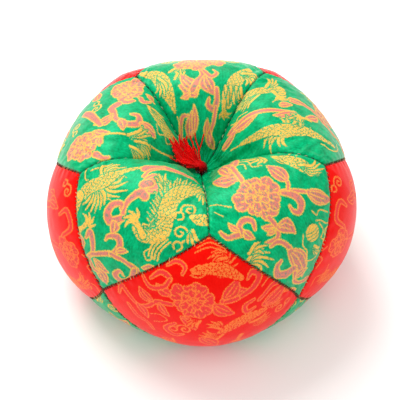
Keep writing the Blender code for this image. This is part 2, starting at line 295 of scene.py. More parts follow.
def panel_corners(kind, k):
    """A panel's corners as seen from outside: upper, left, lower, right."""
    if kind == "top":
        return direction(0, 0), upper_corner(k), flank_corner(k), upper_corner(k + 1)
    if kind == "side":
        return upper_corner(k), flank_corner(k - 1), lower_corner(k), flank_corner(k)
    return direction(180, 0), lower_corner(k + 1), flank_corner(k), lower_corner(k)


def panel_directions(kind, k, u, v):
    """Directions over one panel, at shares of its width from its two upper edges."""
    corners = panel_corners(kind, k)
    across = u[..., None]
    down = v[..., None]
    toward = (1 - across) * (1 - down) * corners[0] + across * (1 - down) * corners[1]
    toward = toward + across * down * corners[2] + (1 - across) * down * corners[3]
    toward = toward / np.linalg.norm(toward, axis=-1, keepdims=True)
    if kind != "side":
        flat = np.hypot(toward[..., 0], toward[..., 1])
        middle = (corners[1] + corners[3])[:2]
        toward[..., :2] = np.where(flat[..., None] < 1e-6, middle / np.linalg.norm(middle) * 1e-6,
                                   toward[..., :2])
        toward = crowd_to_pole(toward)
    return toward


def panel_shares(cells):
    steps = np.linspace(0, 1, cells + 1)
    return np.meshgrid(steps, steps, indexing="ij")


def placed(points):
    return points + AXIS + (0, 0, MIDDLE_HEIGHT)


PANELS = [(kind, k) for kind in ("top", "side", "base") for k in range(PETALS)]


def quads(rows, columns, start=0):
    """Faces of a grid of points, facing out of the panel."""
    i, j = np.meshgrid(np.arange(rows), np.arange(columns), indexing="ij")
    first = start + i * (columns + 1) + j
    return np.stack([first, first + columns + 1, first + columns + 2, first + 1], -1).reshape(-1, 4)


def wadding():
    """Polyester fibre wadding: matt off-white fluff, with its fibres drawn at 0.3 mm so that they show."""
    material, tree = new_material("polyester_wadding")
    place = add_node(tree, "ShaderNodeTexCoord").outputs["Object"]
    tufts = add_node(tree, "ShaderNodeTexNoise", {"Vector": place, "Scale": 250.0, "Detail": 4.0})
    fibres = add_node(tree, "ShaderNodeTexNoise", {"Vector": place, "Scale": 3000.0, "Distortion": 2.0})
    colour = add_node(tree, "ShaderNodeMix", {0: tufts, 6: linear("#D8D2C6"), 7: linear("#F4F1EA")},
                      data_type="RGBA")
    bump = add_node(tree, "ShaderNodeBump", {"Height": fibres, "Distance": 0.3 * MM})
    add_shader(tree,
               {"Base Color": colour.outputs[2], "Normal": bump, "Roughness": 0.95, "Sheen Weight": 0.4})
    return material


def build_filling():
    u, v = panel_shares(FILLING_CELLS)
    points = []
    faces = []
    for kind, k in PANELS:
        toward = panel_directions(kind, k, u, v)
        normal = outward(toward)
        place = surface(toward) / (6 * MM)
        tufts = np.sin(place[..., 0] * 1.7 + place[..., 2]) * np.sin(place[..., 1] * 1.3 - place[...,
                                                                                                 2] * 1.9)
        depth = WADDING_DEPTH - WADDING_TUFT * tufts
        shell = surface(toward)
        shell[..., 2] = np.maximum(shell[..., 2], -MIDDLE_HEIGHT)
        faces.append(quads(FILLING_CELLS, FILLING_CELLS, len(points) * u.size))
        points.append((shell - normal * depth[..., None]).reshape(-1, 3))
    mesh = bpy.data.meshes.new("wadding")
    mesh.from_pydata(placed(np.concatenate(points)).tolist(), [], np.concatenate(faces).tolist())
    shape = bmesh.new()
    shape.from_mesh(mesh)
    bmesh.ops.remove_doubles(shape, verts=shape.verts, dist=0.01 * MM)
    bmesh.ops.bridge_loops(shape, edges=[edge for edge in shape.edges if edge.is_boundary])
    bmesh.ops.recalc_face_normals(shape, faces=shape.faces)
    shape.to_mesh(mesh)
    shape.free()
    mesh.shade_smooth()
    mesh.materials.append(wadding())
    item = add_object(mesh)
    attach(item, "cushion")
    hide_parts("filling")


build_filling()

# ---- Brocade cover ----
# Fifteen four-cornered panels cut from green and from red satin brocade, five over the top, five round
# the side and five underneath, sewn edge to edge by hand and pressed out by the filling.

SLACK_PUFF = 0.3 * MM  # the same before the filling presses the cloth out
EDGE_ROLL = 0.4 * MM  # width over which the cloth turns down into a seam
SEAM_DEPTH = 0.65 * MM
CLOTH_THICKNESS = 0.45 * MM
SEAM_GAP_SHARE = 0.0014
COARSE_CELLS = 24
FINE_CELLS = {"top": 200, "side": 160, "base": 120}
LINING_CELLS = 20
LARGEST_SWELL = 2.0 * MM
SWELL_SHARES = {"top": 0.7, "side": 0.25, "base": 0.5}  # of the simulated movement, which overshoots
SIMULATED_SCALE = 10  # the cloth solver works best at about a metre
SIMULATED_MOMENTS = 20
HELD_RADIUS = 5 * MM  # about the tie, where the cloth can't move
CLOTH_SETTINGS = {
    "quality": 6, "mass": 0.004, "tension_stiffness": 12, "compression_stiffness": 6, "shear_stiffness": 4,
    "bending_stiffness": 0.02, "shrink_min": -0.035, "use_pressure": True, "uniform_pressure_force": 4,
    "vertex_group_mass": "sewn"}
FLATTENING_ROUNDS = 40


def crown_share(u, v):
    """0 on a panel's seams, rising to 1 in its middle."""
    return np.sqrt(np.clip(16 * u * (1 - u) * v * (1 - v), 0, 1))


def cover_points(kind, k, u, v, puff):
    """Directions, places and normals over one panel of the sewn cover."""
    toward = panel_directions(kind, k, u, v)
    normal = outward(toward)
    points = surface(toward) + normal * (puff * crown_share(u, v) - SEAM_SINK)[..., None]
    return toward, points, normal


def pressed_swell():
    """How far the filling presses each panel's cloth out, from a cloth simulation of the whole cover."""
    u, v = panel_shares(COARSE_CELLS)
    grids = [cover_points(kind, k, u, v, SLACK_PUFF)[1] for kind, k in PANELS]
    points = np.concatenate([grid.reshape(-1, 3) for grid in grids]) * SIMULATED_SCALE
    _, first, index = np.unique(np.round(points * 1e4).astype(int), axis=0, return_index=True,
                                return_inverse=True)
    index = index.reshape(-1)
    faces = np.concatenate([quads(COARSE_CELLS, COARSE_CELLS, i * u.size) for i in range(len(PANELS))])
    mesh = bpy.data.meshes.new("cover")
    mesh.from_pydata(points[first].tolist(), [], index[faces].tolist())
    item = add_object(mesh)
    sewn = np.zeros(len(first))
    held = (np.minimum(np.minimum(u, 1 - u), np.minimum(v, 1 - v)) < 1e-6).ravel()
    for i, (kind, _) in enumerate(PANELS):
        near_tie = np.hypot(*grids[i].reshape(-1, 3)[:, :2].T) < HELD_RADIUS
        sewn[index[i * u.size:(i + 1) * u.size][held | near_tie]] = 1
    group = item.vertex_groups.new(name="sewn")
    group.add(np.nonzero(sewn)[0].tolist(), 1.0, "REPLACE")
    cloth = item.modifiers.new("cloth", "CLOTH")
    for setting, value in CLOTH_SETTINGS.items():
        setattr(cloth.settings, setting, value)
    cloth.settings.effector_weights.gravity = 0
    cloth.collision_settings.use_collision = False
    cloth.point_cache.frame_start = 1
    cloth.point_cache.frame_end = SIMULATED_MOMENTS
    for moment in range(1, SIMULATED_MOMENTS + 1):
        bpy.context.scene.frame_set(moment)
    pressed = item.evaluated_get(bpy.context.evaluated_depsgraph_get())
    found = np.empty(len(first) * 3)
    pressed.data.vertices.foreach_get("co", found)
    bpy.context.scene.frame_set(1)
    bpy.data.objects.remove(item, do_unlink=True)
    moved = (found.reshape(-1, 3) - points[first]) / SIMULATED_SCALE
    length = np.linalg.norm(moved, axis=1, keepdims=True)
    moved = moved * np.minimum(1, LARGEST_SWELL / np.maximum(length, 1e-9))
    return [moved[index[i * u.size:(i + 1) * u.size]].reshape(grids[i].shape) * SWELL_SHARES[kind]
            for i, (kind, _) in enumerate(PANELS)]


def between(a, b, c, d, t):
    """The smooth curve through four values in a row, at a share of the way from the second to the third."""
    return b + t / 2 * (c - a + t * (2 * a - 5 * b + 4 * c - d + t * (3 * (b - c) + d - a)))


def resampled(grid, shares):
    """A coarse grid of values read along smooth curves at the given shares of each side."""
    for axis in (0, 1):
        grid = np.moveaxis(grid, axis, 0)
        last = len(grid) - 1
        grid = np.concatenate([2 * grid[:1] - grid[1:2], grid, 2 * grid[-1:] - grid[-2:-1]])
        at = np.asarray(shares) * last
        i = np.minimum(at.astype(int), last - 1)
        t = (at - i).reshape(-1, *[1] * (grid.ndim - 1))
        a, b, c, d = (grid[i + step] for step in range(4))
        grid = between(a, b, c, d, t)
        grid = np.moveaxis(grid, 0, axis)
    return grid


def laid_flat(grid, kind):
    """A panel's cut in millimetres, its upper corner on top, each small piece as rigid as it can be."""
    count = COARSE_CELLS + 1
    points = grid.reshape(-1, 3) / MM
    numbers = np.arange(count * count).reshape(count, count)
    triangles = np.concatenate([
        np.stack([numbers[:-1, :-1], numbers[1:, :-1], numbers[:-1, 1:]], -1).reshape(-1, 3),
        np.stack([numbers[1:, 1:], numbers[:-1, 1:], numbers[1:, :-1]], -1).reshape(-1, 3)])
    first, second, third = (points[triangles[:, i]] for i in range(3))
    along = np.linalg.norm(second - first, axis=1)
    reach = ((third - first) * (second - first)).sum(1) / along
    height = np.sqrt(np.maximum(((third - first) ** 2).sum(1) - reach ** 2, 1e-9))
    rest = np.stack([np.zeros((len(along), 2)), np.stack([along, 0 * along], -1),
                     np.stack([reach, height], -1)], 1)
    edges = rest - np.roll(rest, -1, axis=1)
    opposite = np.roll(rest, -2, axis=1)
    to_start = rest - opposite
    to_end = np.roll(rest, -1, axis=1) - opposite
    turned = np.abs(to_start[..., 0] * to_end[..., 1] - to_start[..., 1] * to_end[..., 0])
    weights = np.clip((to_start * to_end).sum(-1) / np.maximum(turned, 1e-9), 0.05, 20)
    starts = triangles
    ends = np.roll(triangles, -1, axis=1)
    web = np.zeros((count * count, count * count))
    for i, j, sign in ((starts, starts, 1), (ends, ends, 1), (starts, ends, -1), (ends, starts, -1)):
        np.add.at(web, (i, j), sign * weights)
    web[0, 0] += 1
    solved = np.linalg.inv(web)

    def path(line):
        return np.linalg.norm(np.diff(line, axis=0), axis=-1).sum() / MM

    left, right, lower_left, lower_right = (path(line) for line in (grid[:, 0], grid[0], grid[-1],
                                                                    grid[:, -1]))
    middle = path(grid[range(count), range(count)])
    u, v = panel_shares(COARSE_CELLS)
    corners = [(0, 0), (0, 0), (0, -middle), (0, 0)]
    for corner, side, upper, lower in ((1, -1, left, lower_left), (3, 1, right, lower_right)):
        down = (upper ** 2 - lower ** 2 + middle ** 2) / (2 * middle)
        corners[corner] = (side * math.sqrt(max(upper ** 2 - down ** 2, 1)), -down)
    shares = np.stack([(1 - u) * (1 - v), u * (1 - v), u * v, (1 - u) * v])
    flat = np.einsum("cij,cx->ijx", shares, np.array(corners)).reshape(-1, 2)
    for _ in range(FLATTENING_ROUNDS):
        moved = flat[starts] - flat[ends]
        cosine = (weights[..., None] * moved * edges).sum((1, 2))
        sine = (weights * (moved[..., 1] * edges[..., 0] - moved[..., 0] * edges[..., 1])).sum(1)
        size = np.maximum(np.hypot(cosine, sine), 1e-9)
        cosine, sine = (cosine / size)[:, None], (sine / size)[:, None]
        wanted = np.stack([cosine * edges[..., 0] - sine * edges[..., 1],
                           sine * edges[..., 0] + cosine * edges[..., 1]], -1) * weights[..., None]
        pull = np.zeros_like(flat)
        np.add.at(pull, starts, wanted)
        np.add.at(pull, ends, -wanted)
        flat = solved @ pull
    sheet = flat.reshape(count, count, 2)
    upright = sheet[0, 0] - sheet[-1, -1]
    across, up = upright / np.linalg.norm(upright)
    sheet = (sheet - sheet[0, 0]) @ np.array([[up, across], [-across, up]])
    return sheet + (0, np.linalg.norm(upright) / 2) if kind == "side" else sheet


swells = pressed_swell()
coarse_u, coarse_v = panel_shares(COARSE_CELLS)
cuts = [laid_flat(cover_points(kind, k, coarse_u, coarse_v, SLACK_PUFF)[1] + swell, kind)
        for (kind, k), swell in zip(PANELS, swells)]

# ---- Woven figures ----
# The brocade's raised pattern: peonies and leafy scrolls in pink silk bound with gold, and plumes, claws,
# clouds and scaled ribbons in solid gold. Each is drawn on the flat cut, in millimetres.

FAR = 3.0  # a distance that is surely outside every figure
REACH = 1.6  # how far round a figure its distance is worked out
OUTLINE = 0.44  # the gold line round a pink figure
GAP = 0.4  # bare ground left round a gold figure
CURVE_STEPS = 5
LEAF_RIM = ((0.2, 0.75), (0.45, 1.0), (0.7, 0.72), (0.9, 0.3))  # along a leaf, and its half width there


def smooth(knots, closed=False):
    """Points on a curve through the knots."""
    knots = np.array(knots, float)
    if closed:
        knots = np.concatenate([knots[-1:], knots, knots[:2]])
    else:
        knots = np.concatenate([2 * knots[:1] - knots[1:2], knots, 2 * knots[-1:] - knots[-2:-1]])
    a, b, c, d = (knots[i:len(knots) - 3 + i, None] for i in range(4))
    t = np.arange(CURVE_STEPS)[:, None] / CURVE_STEPS
    line = between(a, b, c, d, t).reshape(-1, knots.shape[1])
    return line if closed else np.concatenate([line, knots[-2:-1]])


def distance_from(places, line, radii):
    """Distance of places from a stroke of those radii, or with none from a closed outline's rim."""
    start, end = (line, np.roll(line, -1, axis=0)) if radii is None else (line[:-1], line[1:])
    along = end - start
    offset = places[:, None] - start
    share = np.clip((offset * along).sum(-1) / np.maximum((along ** 2).sum(-1), 1e-9), 0, 1)
    away = np.linalg.norm(offset - share[..., None] * along, axis=-1)
    if radii is not None:
        return (away - radii[:-1] - share * np.diff(radii)).min(1)
    spans = (start[:, 1] > places[:, 1:]) != (end[:, 1] > places[:, 1:])
    slope = along[:, 0] / np.where(np.abs(along[:, 1]) < 1e-9, 1e-9, along[:, 1])
    crossed = spans & (offset[..., 0] < slope * offset[..., 1])
    return np.where(crossed.sum(1) % 2 == 1, -1, 1) * away.min(1)


class Loom:
    """One panel's pattern: how far each place is from its gold and its pink, negative inside."""

    def __init__(self, places):
        self.places = places
        self.gold = np.full(len(places), FAR)
        self.pink = np.full(len(places), FAR)
        self.move()

    def move(self, x=0.0, y=0.0, turn=0.0, size=1.0, flip=1):
        """Where the next figures go; flip -1 mirrors them."""
        cosine = size * math.cos(math.radians(turn))
        sine = size * math.sin(math.radians(turn))
        self.frame = np.array([[cosine, sine], [-flip * sine, flip * cosine]])
        self.origin = np.array([x, y])
        self.size = size

    def near(self, figures):
        """The places about these figures and their distance from the nearest."""
        lines = []
        for figure in figures:
            line = smooth(figure, closed=len(figure[0]) == 2)
            radii = line[:, 2] * self.size if line.shape[1] == 3 else None
            lines.append((line[:, :2] @ self.frame + self.origin, radii))
        everywhere = np.concatenate([line for line, _ in lines])
        margin = REACH + max([0] + [radii.max() for _, radii in lines if radii is not None])
        inside = (self.places > everywhere.min(0) - margin) & (self.places < everywhere.max(0) + margin)
        chosen = np.nonzero(inside.all(1))[0]
        away = np.full(len(chosen), FAR)
        for line, radii in lines:
            if len(chosen):
                away = np.minimum(away, distance_from(self.places[chosen], line, radii))
        return chosen, away

    def pink_figure(self, *figures):
        chosen, away = self.near(figures)
        self.gold[chosen] = np.minimum(np.maximum(self.gold[chosen], -away), np.abs(away) - OUTLINE / 2)
        self.pink[chosen] = np.minimum(self.pink[chosen], away)

    def gold_figure(self, *figures):
        chosen, away = self.near(figures)
        self.gold[chosen] = np.minimum(np.maximum(self.gold[chosen], GAP - away), away)
        self.pink[chosen] = np.maximum(self.pink[chosen], GAP - away)

    def gold_line(self, *figures):
        chosen, away = self.near(figures)
        self.gold[chosen] = np.minimum(self.gold[chosen], away)

    def cut(self, *figures):
        chosen, away = self.near(figures)
        self.gold[chosen] = np.maximum(self.gold[chosen], -away)
        self.pink[chosen] = np.maximum(self.pink[chosen], -away)


def stem(loom, *knots):
    """A pink stem or curl bound in gold, through x, y, half width."""
    loom.move()
    loom.pink_figure([(x, y, 0.9 * half) for x, y, half in knots])


def line(loom, *knots, width=0.46):
    """A plain gold line through x, y pairs."""
    loom.move()
    loom.gold_line([(x, y, width / 2) for x, y in knots])


def leaf(loom, root, tip, width, bend=0.0, veins=1):
    """A pointed leaf from its stem end to its tip; a bend curves it to its left."""
    length = math.dist(root, tip)
    loom.move(*root, math.degrees(math.atan2(tip[1] - root[1], tip[0] - root[0])), length)
    half = width / length / 2

    def rib(x, aside):
        return x, bend * 4 * x * (1 - x) + aside

    left = [rib(x, half * share) for x, share in LEAF_RIM]
    right = [rib(x, -half * share) for x, share in reversed(LEAF_RIM)]
    loom.pink_figure([(0, 0), *left, (1, 0), *right])
    for i in range(veins):
        aside = half * 0.7 * (i - (veins - 1) / 2)
        loom.gold_line([(*rib(x, aside * math.sin(math.pi * x)), 0.2 / length) for x in (0.12, 0.4, 0.72)])


def peony(loom, x, y, size, turn=0):
    """A full flower seen from the front: ragged round petals, each in two lobes, about a curled heart."""
    for count, reach, width, first in ((7, 0.66, 0.27, 0), (5, 0.36, 0.2, 30)):
        for petal in range(count):
            stretch = 1 + 0.16 * math.sin(petal * 2.4 + 0.1 * turn)
            loom.move(x, y, turn + first + 360 / count * petal + 7 * math.sin(petal * 1.7), size * stretch)
            loom.pink_figure([(reach - 0.36, 0, width * 0.5), (reach - 0.02, 0.13, width * 0.86)],
                             [(reach - 0.36, 0, width * 0.5), (reach, -0.15, width * 0.8)])
            loom.gold_line([(reach - 0.3, 0, 0.028), (reach - 0.04, 0.0, 0.028)],
                           [(reach - 0.06, 0.16, 0.022), (reach + 0.1, 0.2, 0.022)],
                           [(reach - 0.06, -0.18, 0.022), (reach + 0.08, -0.24, 0.022)])
    loom.move(x, y, turn, size)
    loom.pink_figure([(-0.07, 0, 0.15), (0.07, 0.04, 0.15)])
    loom.gold_line([(-0.12, 0.02, 0.03), (-0.03, 0.1, 0.03), (0.1, 0.07, 0.03), (0.08, -0.05, 0.03),
                    (-0.02, -0.04, 0.03)])


def claw(loom, x, y, size, turn):
    """Four curved talons on a short leg."""
    loom.move(x, y, turn, size)
    talons = [[(0, 0, 0.2), (0.55 * math.cos(a), 0.55 * math.sin(a), 0.16),
               (math.cos(a + 0.4), math.sin(a + 0.4), 0.06)] for a in (-1.2, -0.45, 0.25, 1.0)]
    loom.gold_figure([(-1.4, 0.15, 0.3), (-0.6, 0, 0.22), (0, 0, 0.28)], *talons)


def plume(loom, x, y, length, turn, strands, spread, sweep):
    """Feather strokes from one root, all sweeping to the same side."""
    for i in range(strands):
        place = i / max(strands - 1, 1) - 0.5
        first = math.radians(spread * place)
        last = first + math.radians(sweep)
        reach = 1 - 0.5 * abs(place)
        loom.move(x, y, turn, length)
        loom.gold_figure([(0, 0, 0.5 / length),
                          (0.5 * math.cos(first), 0.5 * math.sin(first), 0.5 / length),
                          (reach * math.cos(last), reach * math.sin(last), 0.18 / length)])


def scaled_ribbon(loom, *knots, spikes=0):
    """A tapering gold ribbon of staggered scales through x, y, half width; spikes 1 or -1 fringes a side."""
    loom.move()
    loom.gold_figure(knots)
    course = smooth(knots)
    step = np.diff(course[:, :2], axis=0)
    length = np.concatenate([[0], np.cumsum(np.linalg.norm(step, axis=1))])
    for row, at in enumerate(np.arange(0.9, length[-1] - 0.5, 0.95)):
        x, y, radius = (np.interp(at, length, course[:, i]) for i in range(3))
        i = min(int(np.searchsorted(length, at)) - 1, len(step) - 1)
        ahead = step[i] / np.linalg.norm(step[i])
        aside = np.array([-ahead[1], ahead[0]])
        centre = np.array([x, y])
        scales = max(1, round(radius / 0.8))
        for scale in range(scales):
            middle = (scale + (0.25 if row % 2 else 0.75)) / scales * 2 - 1
            bow = [centre + aside * radius * (middle + share * 0.62 / scales) + ahead * lift
                   for share, lift in ((-1, 0), (0, 0.45), (1, 0))]
            loom.cut([(*place, 0.15) for place in bow])
        if spikes:
            root = centre + aside * spikes * (radius + 0.55)
            tip = root + aside * spikes * (1.5 + 0.5 * (row % 3)) - ahead * 1.7
            loom.gold_figure([(*root, 0.3), (*tip, 0.14)])


def cloud(loom, x, y, size, turn=0, flip=1):
    """A curled cloud drawn in one line."""
    loom.move(x, y, turn, size, flip)
    curl = ((0.15, 0), (0.05, 0.22), (-0.22, 0.1), (-0.2, -0.25), (0.12, -0.42), (0.48, -0.2), (0.5, 0.25),
            (0.2, 0.62), (-0.25, 0.66), (-0.65, 0.4), (-1.0, 0.55), (-1.4, 0.3))
    loom.gold_line([(a, b, 0.3 / size) for a, b in curl])
    loom.gold_line([(a, b, 0.3 / size) for a, b in ((-0.65, 0.4), (-0.7, 0.0), (-1.0, -0.2), (-1.3, 0.0))])


def pearl(loom, x, y, size):
    """A round pearl with lines round its lower half, and ribbons flying from it."""
    loom.move(x, y, 0, size)
    loom.gold_figure([(0, 0, 0.9), (0, 0.02, 0.9)])
    for level in (0.35, 0.0, -0.35):
        loom.cut([(-0.9, level - 0.1, 0.05), (0, level - 0.25, 0.05), (0.9, level - 0.1, 0.05)])


def front_right_petal(loom):
    plume(loom, 9, -25, 8, 225, 5, 80, -20)
    line(loom, (1, -24), (3, -27), (2, -30), (5, -31))
    line(loom, (-1, -25), (1, -27), (0, -29.5))
    plume(loom, 12, -28, 9, 285, 4, 40, 25)
    scaled_ribbon(loom, (12, -29, 0.8), (15, -34, 2.0), (17, -39, 2.4), (19, -43, 0.8))
    plume(loom, 16, -37, 9, 300, 5, 50, 20)
    leaf(loom, (-3, -31), (-9, -22), 5.5, 0.12, 2)
    leaf(loom, (-2, -26), (4, -20), 4, 0.1)
    leaf(loom, (-5, -27), (-3, -17), 4.5, -0.1, 2)
    stem(loom, (-2, -25, 0.9), (-3, -28, 0.8), (-4, -32, 0.8))
    stem(loom, (2, -41.5, 0.9), (6, -42.7, 0.8), (11, -45.5, 0.7), (13, -47, 0.6))
    stem(loom, (8, -38.5, 0.6), (7.8, -40.5, 0.6), (6, -42.7, 0.6))
    leaf(loom, (8.3, -39.8), (6.4, -31.8), 5.6, -0.03, 2)
    leaf(loom, (11.5, -45.8), (19.5, -53), 5, -0.06, 3)
    stem(loom, (4, -42.4, 0.8), (7, -44.8, 1.3), (7.7, -48, 1.4), (5.6, -50, 1.1), (3.8, -48.8, 0.7),
         (3.6, -46.8, 0.4))
    peony(loom, -3.8, -39.5, 8.0, 12)
    stem(loom, (-4.6, -46.5, 0.9), (-4, -50, 0.8), (-5.2, -53, 0.8), (-9.5, -52.6, 0.5))
    leaf(loom, (-4.2, -50.3), (1.2, -55.2), 4.6, 0.22, 2)
    leaf(loom, (-4.6, -49.6), (-8.4, -47.6), 2.2, 0.1)
    leaf(loom, (-5, -51), (-8, -50.6), 1.8, -0.1)
    stem(loom, (-8.6, -54.2, 0.5), (-5.4, -54.4, 0.8), (-3, -57.6, 0.9), (-2.2, -62, 1.0), (-2.6, -67, 0.9),
         (-3, -72, 0.8), (0, -74.4, 0.8), (5, -76, 0.7))
    leaf(loom, (-3.4, -58.5), (0.2, -72), 6.2, 0.1, 3)
    leaf(loom, (-3, -71), (2.5, -69.6), 2.6, 0.15)
    stem(loom, (-3, -66, 1.3), (-6.5, -66.5, 1.9), (-9, -65, 1.5), (-9, -62, 1.0), (-7, -60.6, 0.6))
    leaf(loom, (-4, -75), (-4.6, -79), 2.6, 0.2)
    line(loom, (-17.5, -32.5), (-15, -34), (-12.5, -37))
    line(loom, (-17.8, -35.5), (-16.5, -38))
    stem(loom, (-20.3, -42, 0.5), (-19.4, -44.6, 0.8), (-17, -45.4, 1.0), (-14, -46.3, 1.1))
    stem(loom, (-14.6, -46, 0.8), (-14.3, -43.6, 0.9), (-12, -42.8, 1.0), (-10, -44.4, 0.9),
         (-10.6, -47, 0.5))
    leaf(loom, (-15.2, -45), (-16.6, -41), 2.0, 0.1)
    leaf(loom, (-14, -45.4), (-12.2, -49.4), 2.6, -0.1)
    plume(loom, -18, -55, 9.5, -5, 5, 70, -18)
    plume(loom, -16, -52.5, 6.5, 5, 3, 45, -12)
    line(loom, (10, -52), (11, -54), (13, -53.2), (16, -55.6))
    line(loom, (10, -55.5), (12, -56.5), (14.4, -59), (17.5, -58.5))
    pearl(loom, 7.3, -58.5, 3.2)
    plume(loom, 6.8, -63.2, 4.5, -80, 4, 60, 10)
    line(loom, (3.6, -57), (2.2, -60), (3.2, -63), (2.4, -66), (5, -67.6), (8.5, -66.6))
    line(loom, (11, -57), (12, -60), (10.6, -62.4), (12, -64.6), (10.6, -67))
    cloud(loom, 14.5, -62, 3.0, 60)


def front_left_petal(loom):
    line(loom, (-18, -36), (-20.4, -40), (-18.4, -44), (-15, -43), (-14.6, -40), (-16.6, -38.6),
         (-18.4, -40.8))
    plume(loom, -12.5, -41, 9, 95, 6, 90, -35)
    plume(loom, -12, -42, 9.5, -15, 5, 80, 25)
    plume(loom, -13, -43, 10.5, -62, 7, 70, -12)
    scaled_ribbon(loom, (-17, -52, 1.4), (-15, -46, 2.2), (-11.5, -41, 2.4), (-9.5, -36, 1.2),
                  (-4, -30, 0.5))
    scaled_ribbon(loom, (-17, -50, 2.0), (-17.5, -55, 2.4), (-16, -60, 1.2))
    claw(loom, -9.8, -56, 3.4, 65)
    stem(loom, (-3.2, -30.6, 1.9), (0, -28.4, 1.3), (4.5, -25.5, 0.9), (9, -21, 0.7), (11, -17, 0.5))
    stem(loom, (-1.4, -33.8, 0.7), (-1.2, -31, 0.6), (1.6, -28, 0.5))
    leaf(loom, (0.4, -38), (7, -31), 7.0, 0.08, 3)
    stem(loom, (0.6, -36.2, 1.7), (2.0, -35, 1.5))
    stem(loom, (3.6, -39.4, 1.4), (1.4, -39, 1.5), (0, -41.6, 1.2), (-0.4, -45, 0.9), (0.8, -48.6, 0.9),
         (-0.2, -51, 1.0))
    stem(loom, (0.8, -48.6, 1.2), (-2.2, -51.2, 1.5), (-4.4, -49.6, 1.4), (-4.2, -46.4, 1.2),
         (-1.8, -44.9, 0.9), (-1.0, -46.4, 0.4))
    leaf(loom, (-1.4, -50.5), (0, -54.6), 3.2, 0.2)
    plume(loom, 10, -30.5, 9, 215, 4, 36, -28)
    scaled_ribbon(loom, (16, -24, 1.6), (12.4, -29, 2.4), (10.8, -35, 2.6), (12.6, -41, 2.8),
                  (14, -46, 2.8),
                  (10, -49.4, 2.2), (6.6, -48.6, 1.5), spikes=-1)
    claw(loom, 5, -47.2, 3.8, 158)
    for side in range(4):
        line(loom, (15 + side * 1.1, -46 - side * 0.3), (13.6 + side * 1.1, -51), (14 + side * 1.1, -54.4),
             width=0.55)
    line(loom, (14, -51.6), (12.4, -54), (14, -56), (15.6, -54.4), (14.6, -53.2))
    plume(loom, 17, -24, 7, -80, 5, 60, 10)
    cloud(loom, 17.4, -35, 3.6, 80)
    cloud(loom, 19.4, -43, 4.0, 100, -1)
    scaled_ribbon(loom, (19.4, -36.4, 0.9), (22.4, -35.8, 1.9), (26, -33, 1.7))
    plume(loom, 22, -40, 6, -60, 3, 50, 10)
    stem(loom, (-6.2, -67, 0.8), (-4.6, -64, 0.9), (-5.6, -60.4, 1.1), (-7.6, -58, 1.2), (-8.6, -60.8, 0.4))
    stem(loom, (-5, -65, 0.8), (0, -61.6, 0.9), (3, -59.8, 1.0), (4.2, -56.4, 1.2), (2.4, -54.4, 1.1),
         (-0.6, -55.6, 0.8), (-1.2, -57.4, 0.3))
    leaf(loom, (3.6, -59), (7.4, -56.8), 2.2, 0.1)
    stem(loom, (2, -60.6, 0.8), (7, -60.4, 0.8), (11, -61.2, 0.9), (14, -63.6, 1.0))
    leaf(loom, (12, -60.6), (13.6, -67), 3.0, -0.1)
    stem(loom, (11.2, -62, 1.0), (11, -66, 1.3), (8, -69, 1.3), (5.2, -67.4, 1.1), (6.6, -64.8, 0.6),
         (8.2, -66, 0.3))
    leaf(loom, (-3.6, -66), (2.8, -68), 3.4, -0.1, 2)
    leaf(loom, (-2.2, -69), (2, -74.4), 4.4, 0.15, 2)
    stem(loom, (-6.2, -67, 0.7), (-4, -70, 0.8), (-1.6, -70.4, 0.8))
    leaf(loom, (-11.5, -61), (-9.2, -66.4), 2.6, 0.1)
    leaf(loom, (17, -57), (13.4, -59.4), 2.8, 0.1)


def upper_left_petal(loom):
    peony(loom, -13, -37, 6.6, 10)
    stem(loom, (-8.4, -36, 0.9), (-6.4, -37, 1.1), (-5.2, -34.6, 1.1), (-7, -32.6, 0.6))
    stem(loom, (-9.6, -31, 0.9), (-8, -29.6, 1.0), (-10, -27.4, 0.5))
    leaf(loom, (-13, -30), (-10.6, -25.6), 2.2, 0.1)
    stem(loom, (-4, -37.2, 1.5), (-1.6, -38.6, 1.4), (1, -36.8, 1.1), (3.6, -35, 1.0), (4.6, -31, 1.1),
         (3, -27.8, 1.2), (0.2, -28.8, 0.9), (0.4, -31, 0.5))
    leaf(loom, (1, -37), (6, -42.5), 3.6, 0.2, 2)
    leaf(loom, (3.2, -34), (7.4, -31.4), 3.0, 0.1)
    leaf(loom, (2.6, -27.6), (4, -20.6), 3.6, 0.06, 2)
    stem(loom, (6, -40, 1.0), (3, -43.4, 1.3), (0, -47, 1.6), (-2, -51, 1.2))
    peony(loom, 15, -43.5, 7.2, 30)
    leaf(loom, (9, -41), (9, -35.4), 3.0, -0.15)
    stem(loom, (18.5, -37, 1.5), (19.5, -34.6, 1.2), (18.6, -32.6, 0.7))
    leaf(loom, (15, -36.8), (10.6, -37.6), 2.4, 0.1)
    line(loom, (11.6, -40), (9.6, -35), (8.4, -30), (7.6, -24), (6.4, -17), (3.6, -11), width=0.7)
    plume(loom, 8.2, -29, 7.5, 108, 5, 60, 12)
    plume(loom, 9, -26, 8.5, 85, 5, 50, -14)
    plume(loom, 11.5, -27, 9, 70, 4, 40, -10)
    scaled_ribbon(loom, (-7, -27, 0.8), (-4.6, -23.6, 2.0), (-2.8, -18.4, 2.2), (-2.4, -12.6, 1.4))
    plume(loom, -7.4, -25.6, 7, 60, 4, 50, 10)
    line(loom, (-1, -22.4), (1.8, -20.4), (0.2, -18), (2.2, -16), (0.4, -14), (1, -11.4))
    line(loom, (-1, -20), (-0.2, -17.4), (-1.2, -15))
    cloud(loom, -2.6, -45.6, 3.2, 30)
    cloud(loom, 4.6, -51, 3.0, 200)
    leaf(loom, (-8, -47), (-13, -50), 4.0, 0.1)
    stem(loom, (-5, -58, 0.9), (0, -60, 1.0), (5, -57, 1.1), (8, -60, 0.8))
    plume(loom, 10, -56, 8, 240, 5, 60, 16)
    leaf(loom, (0, -62), (-4, -72), 5, 0.1, 2)


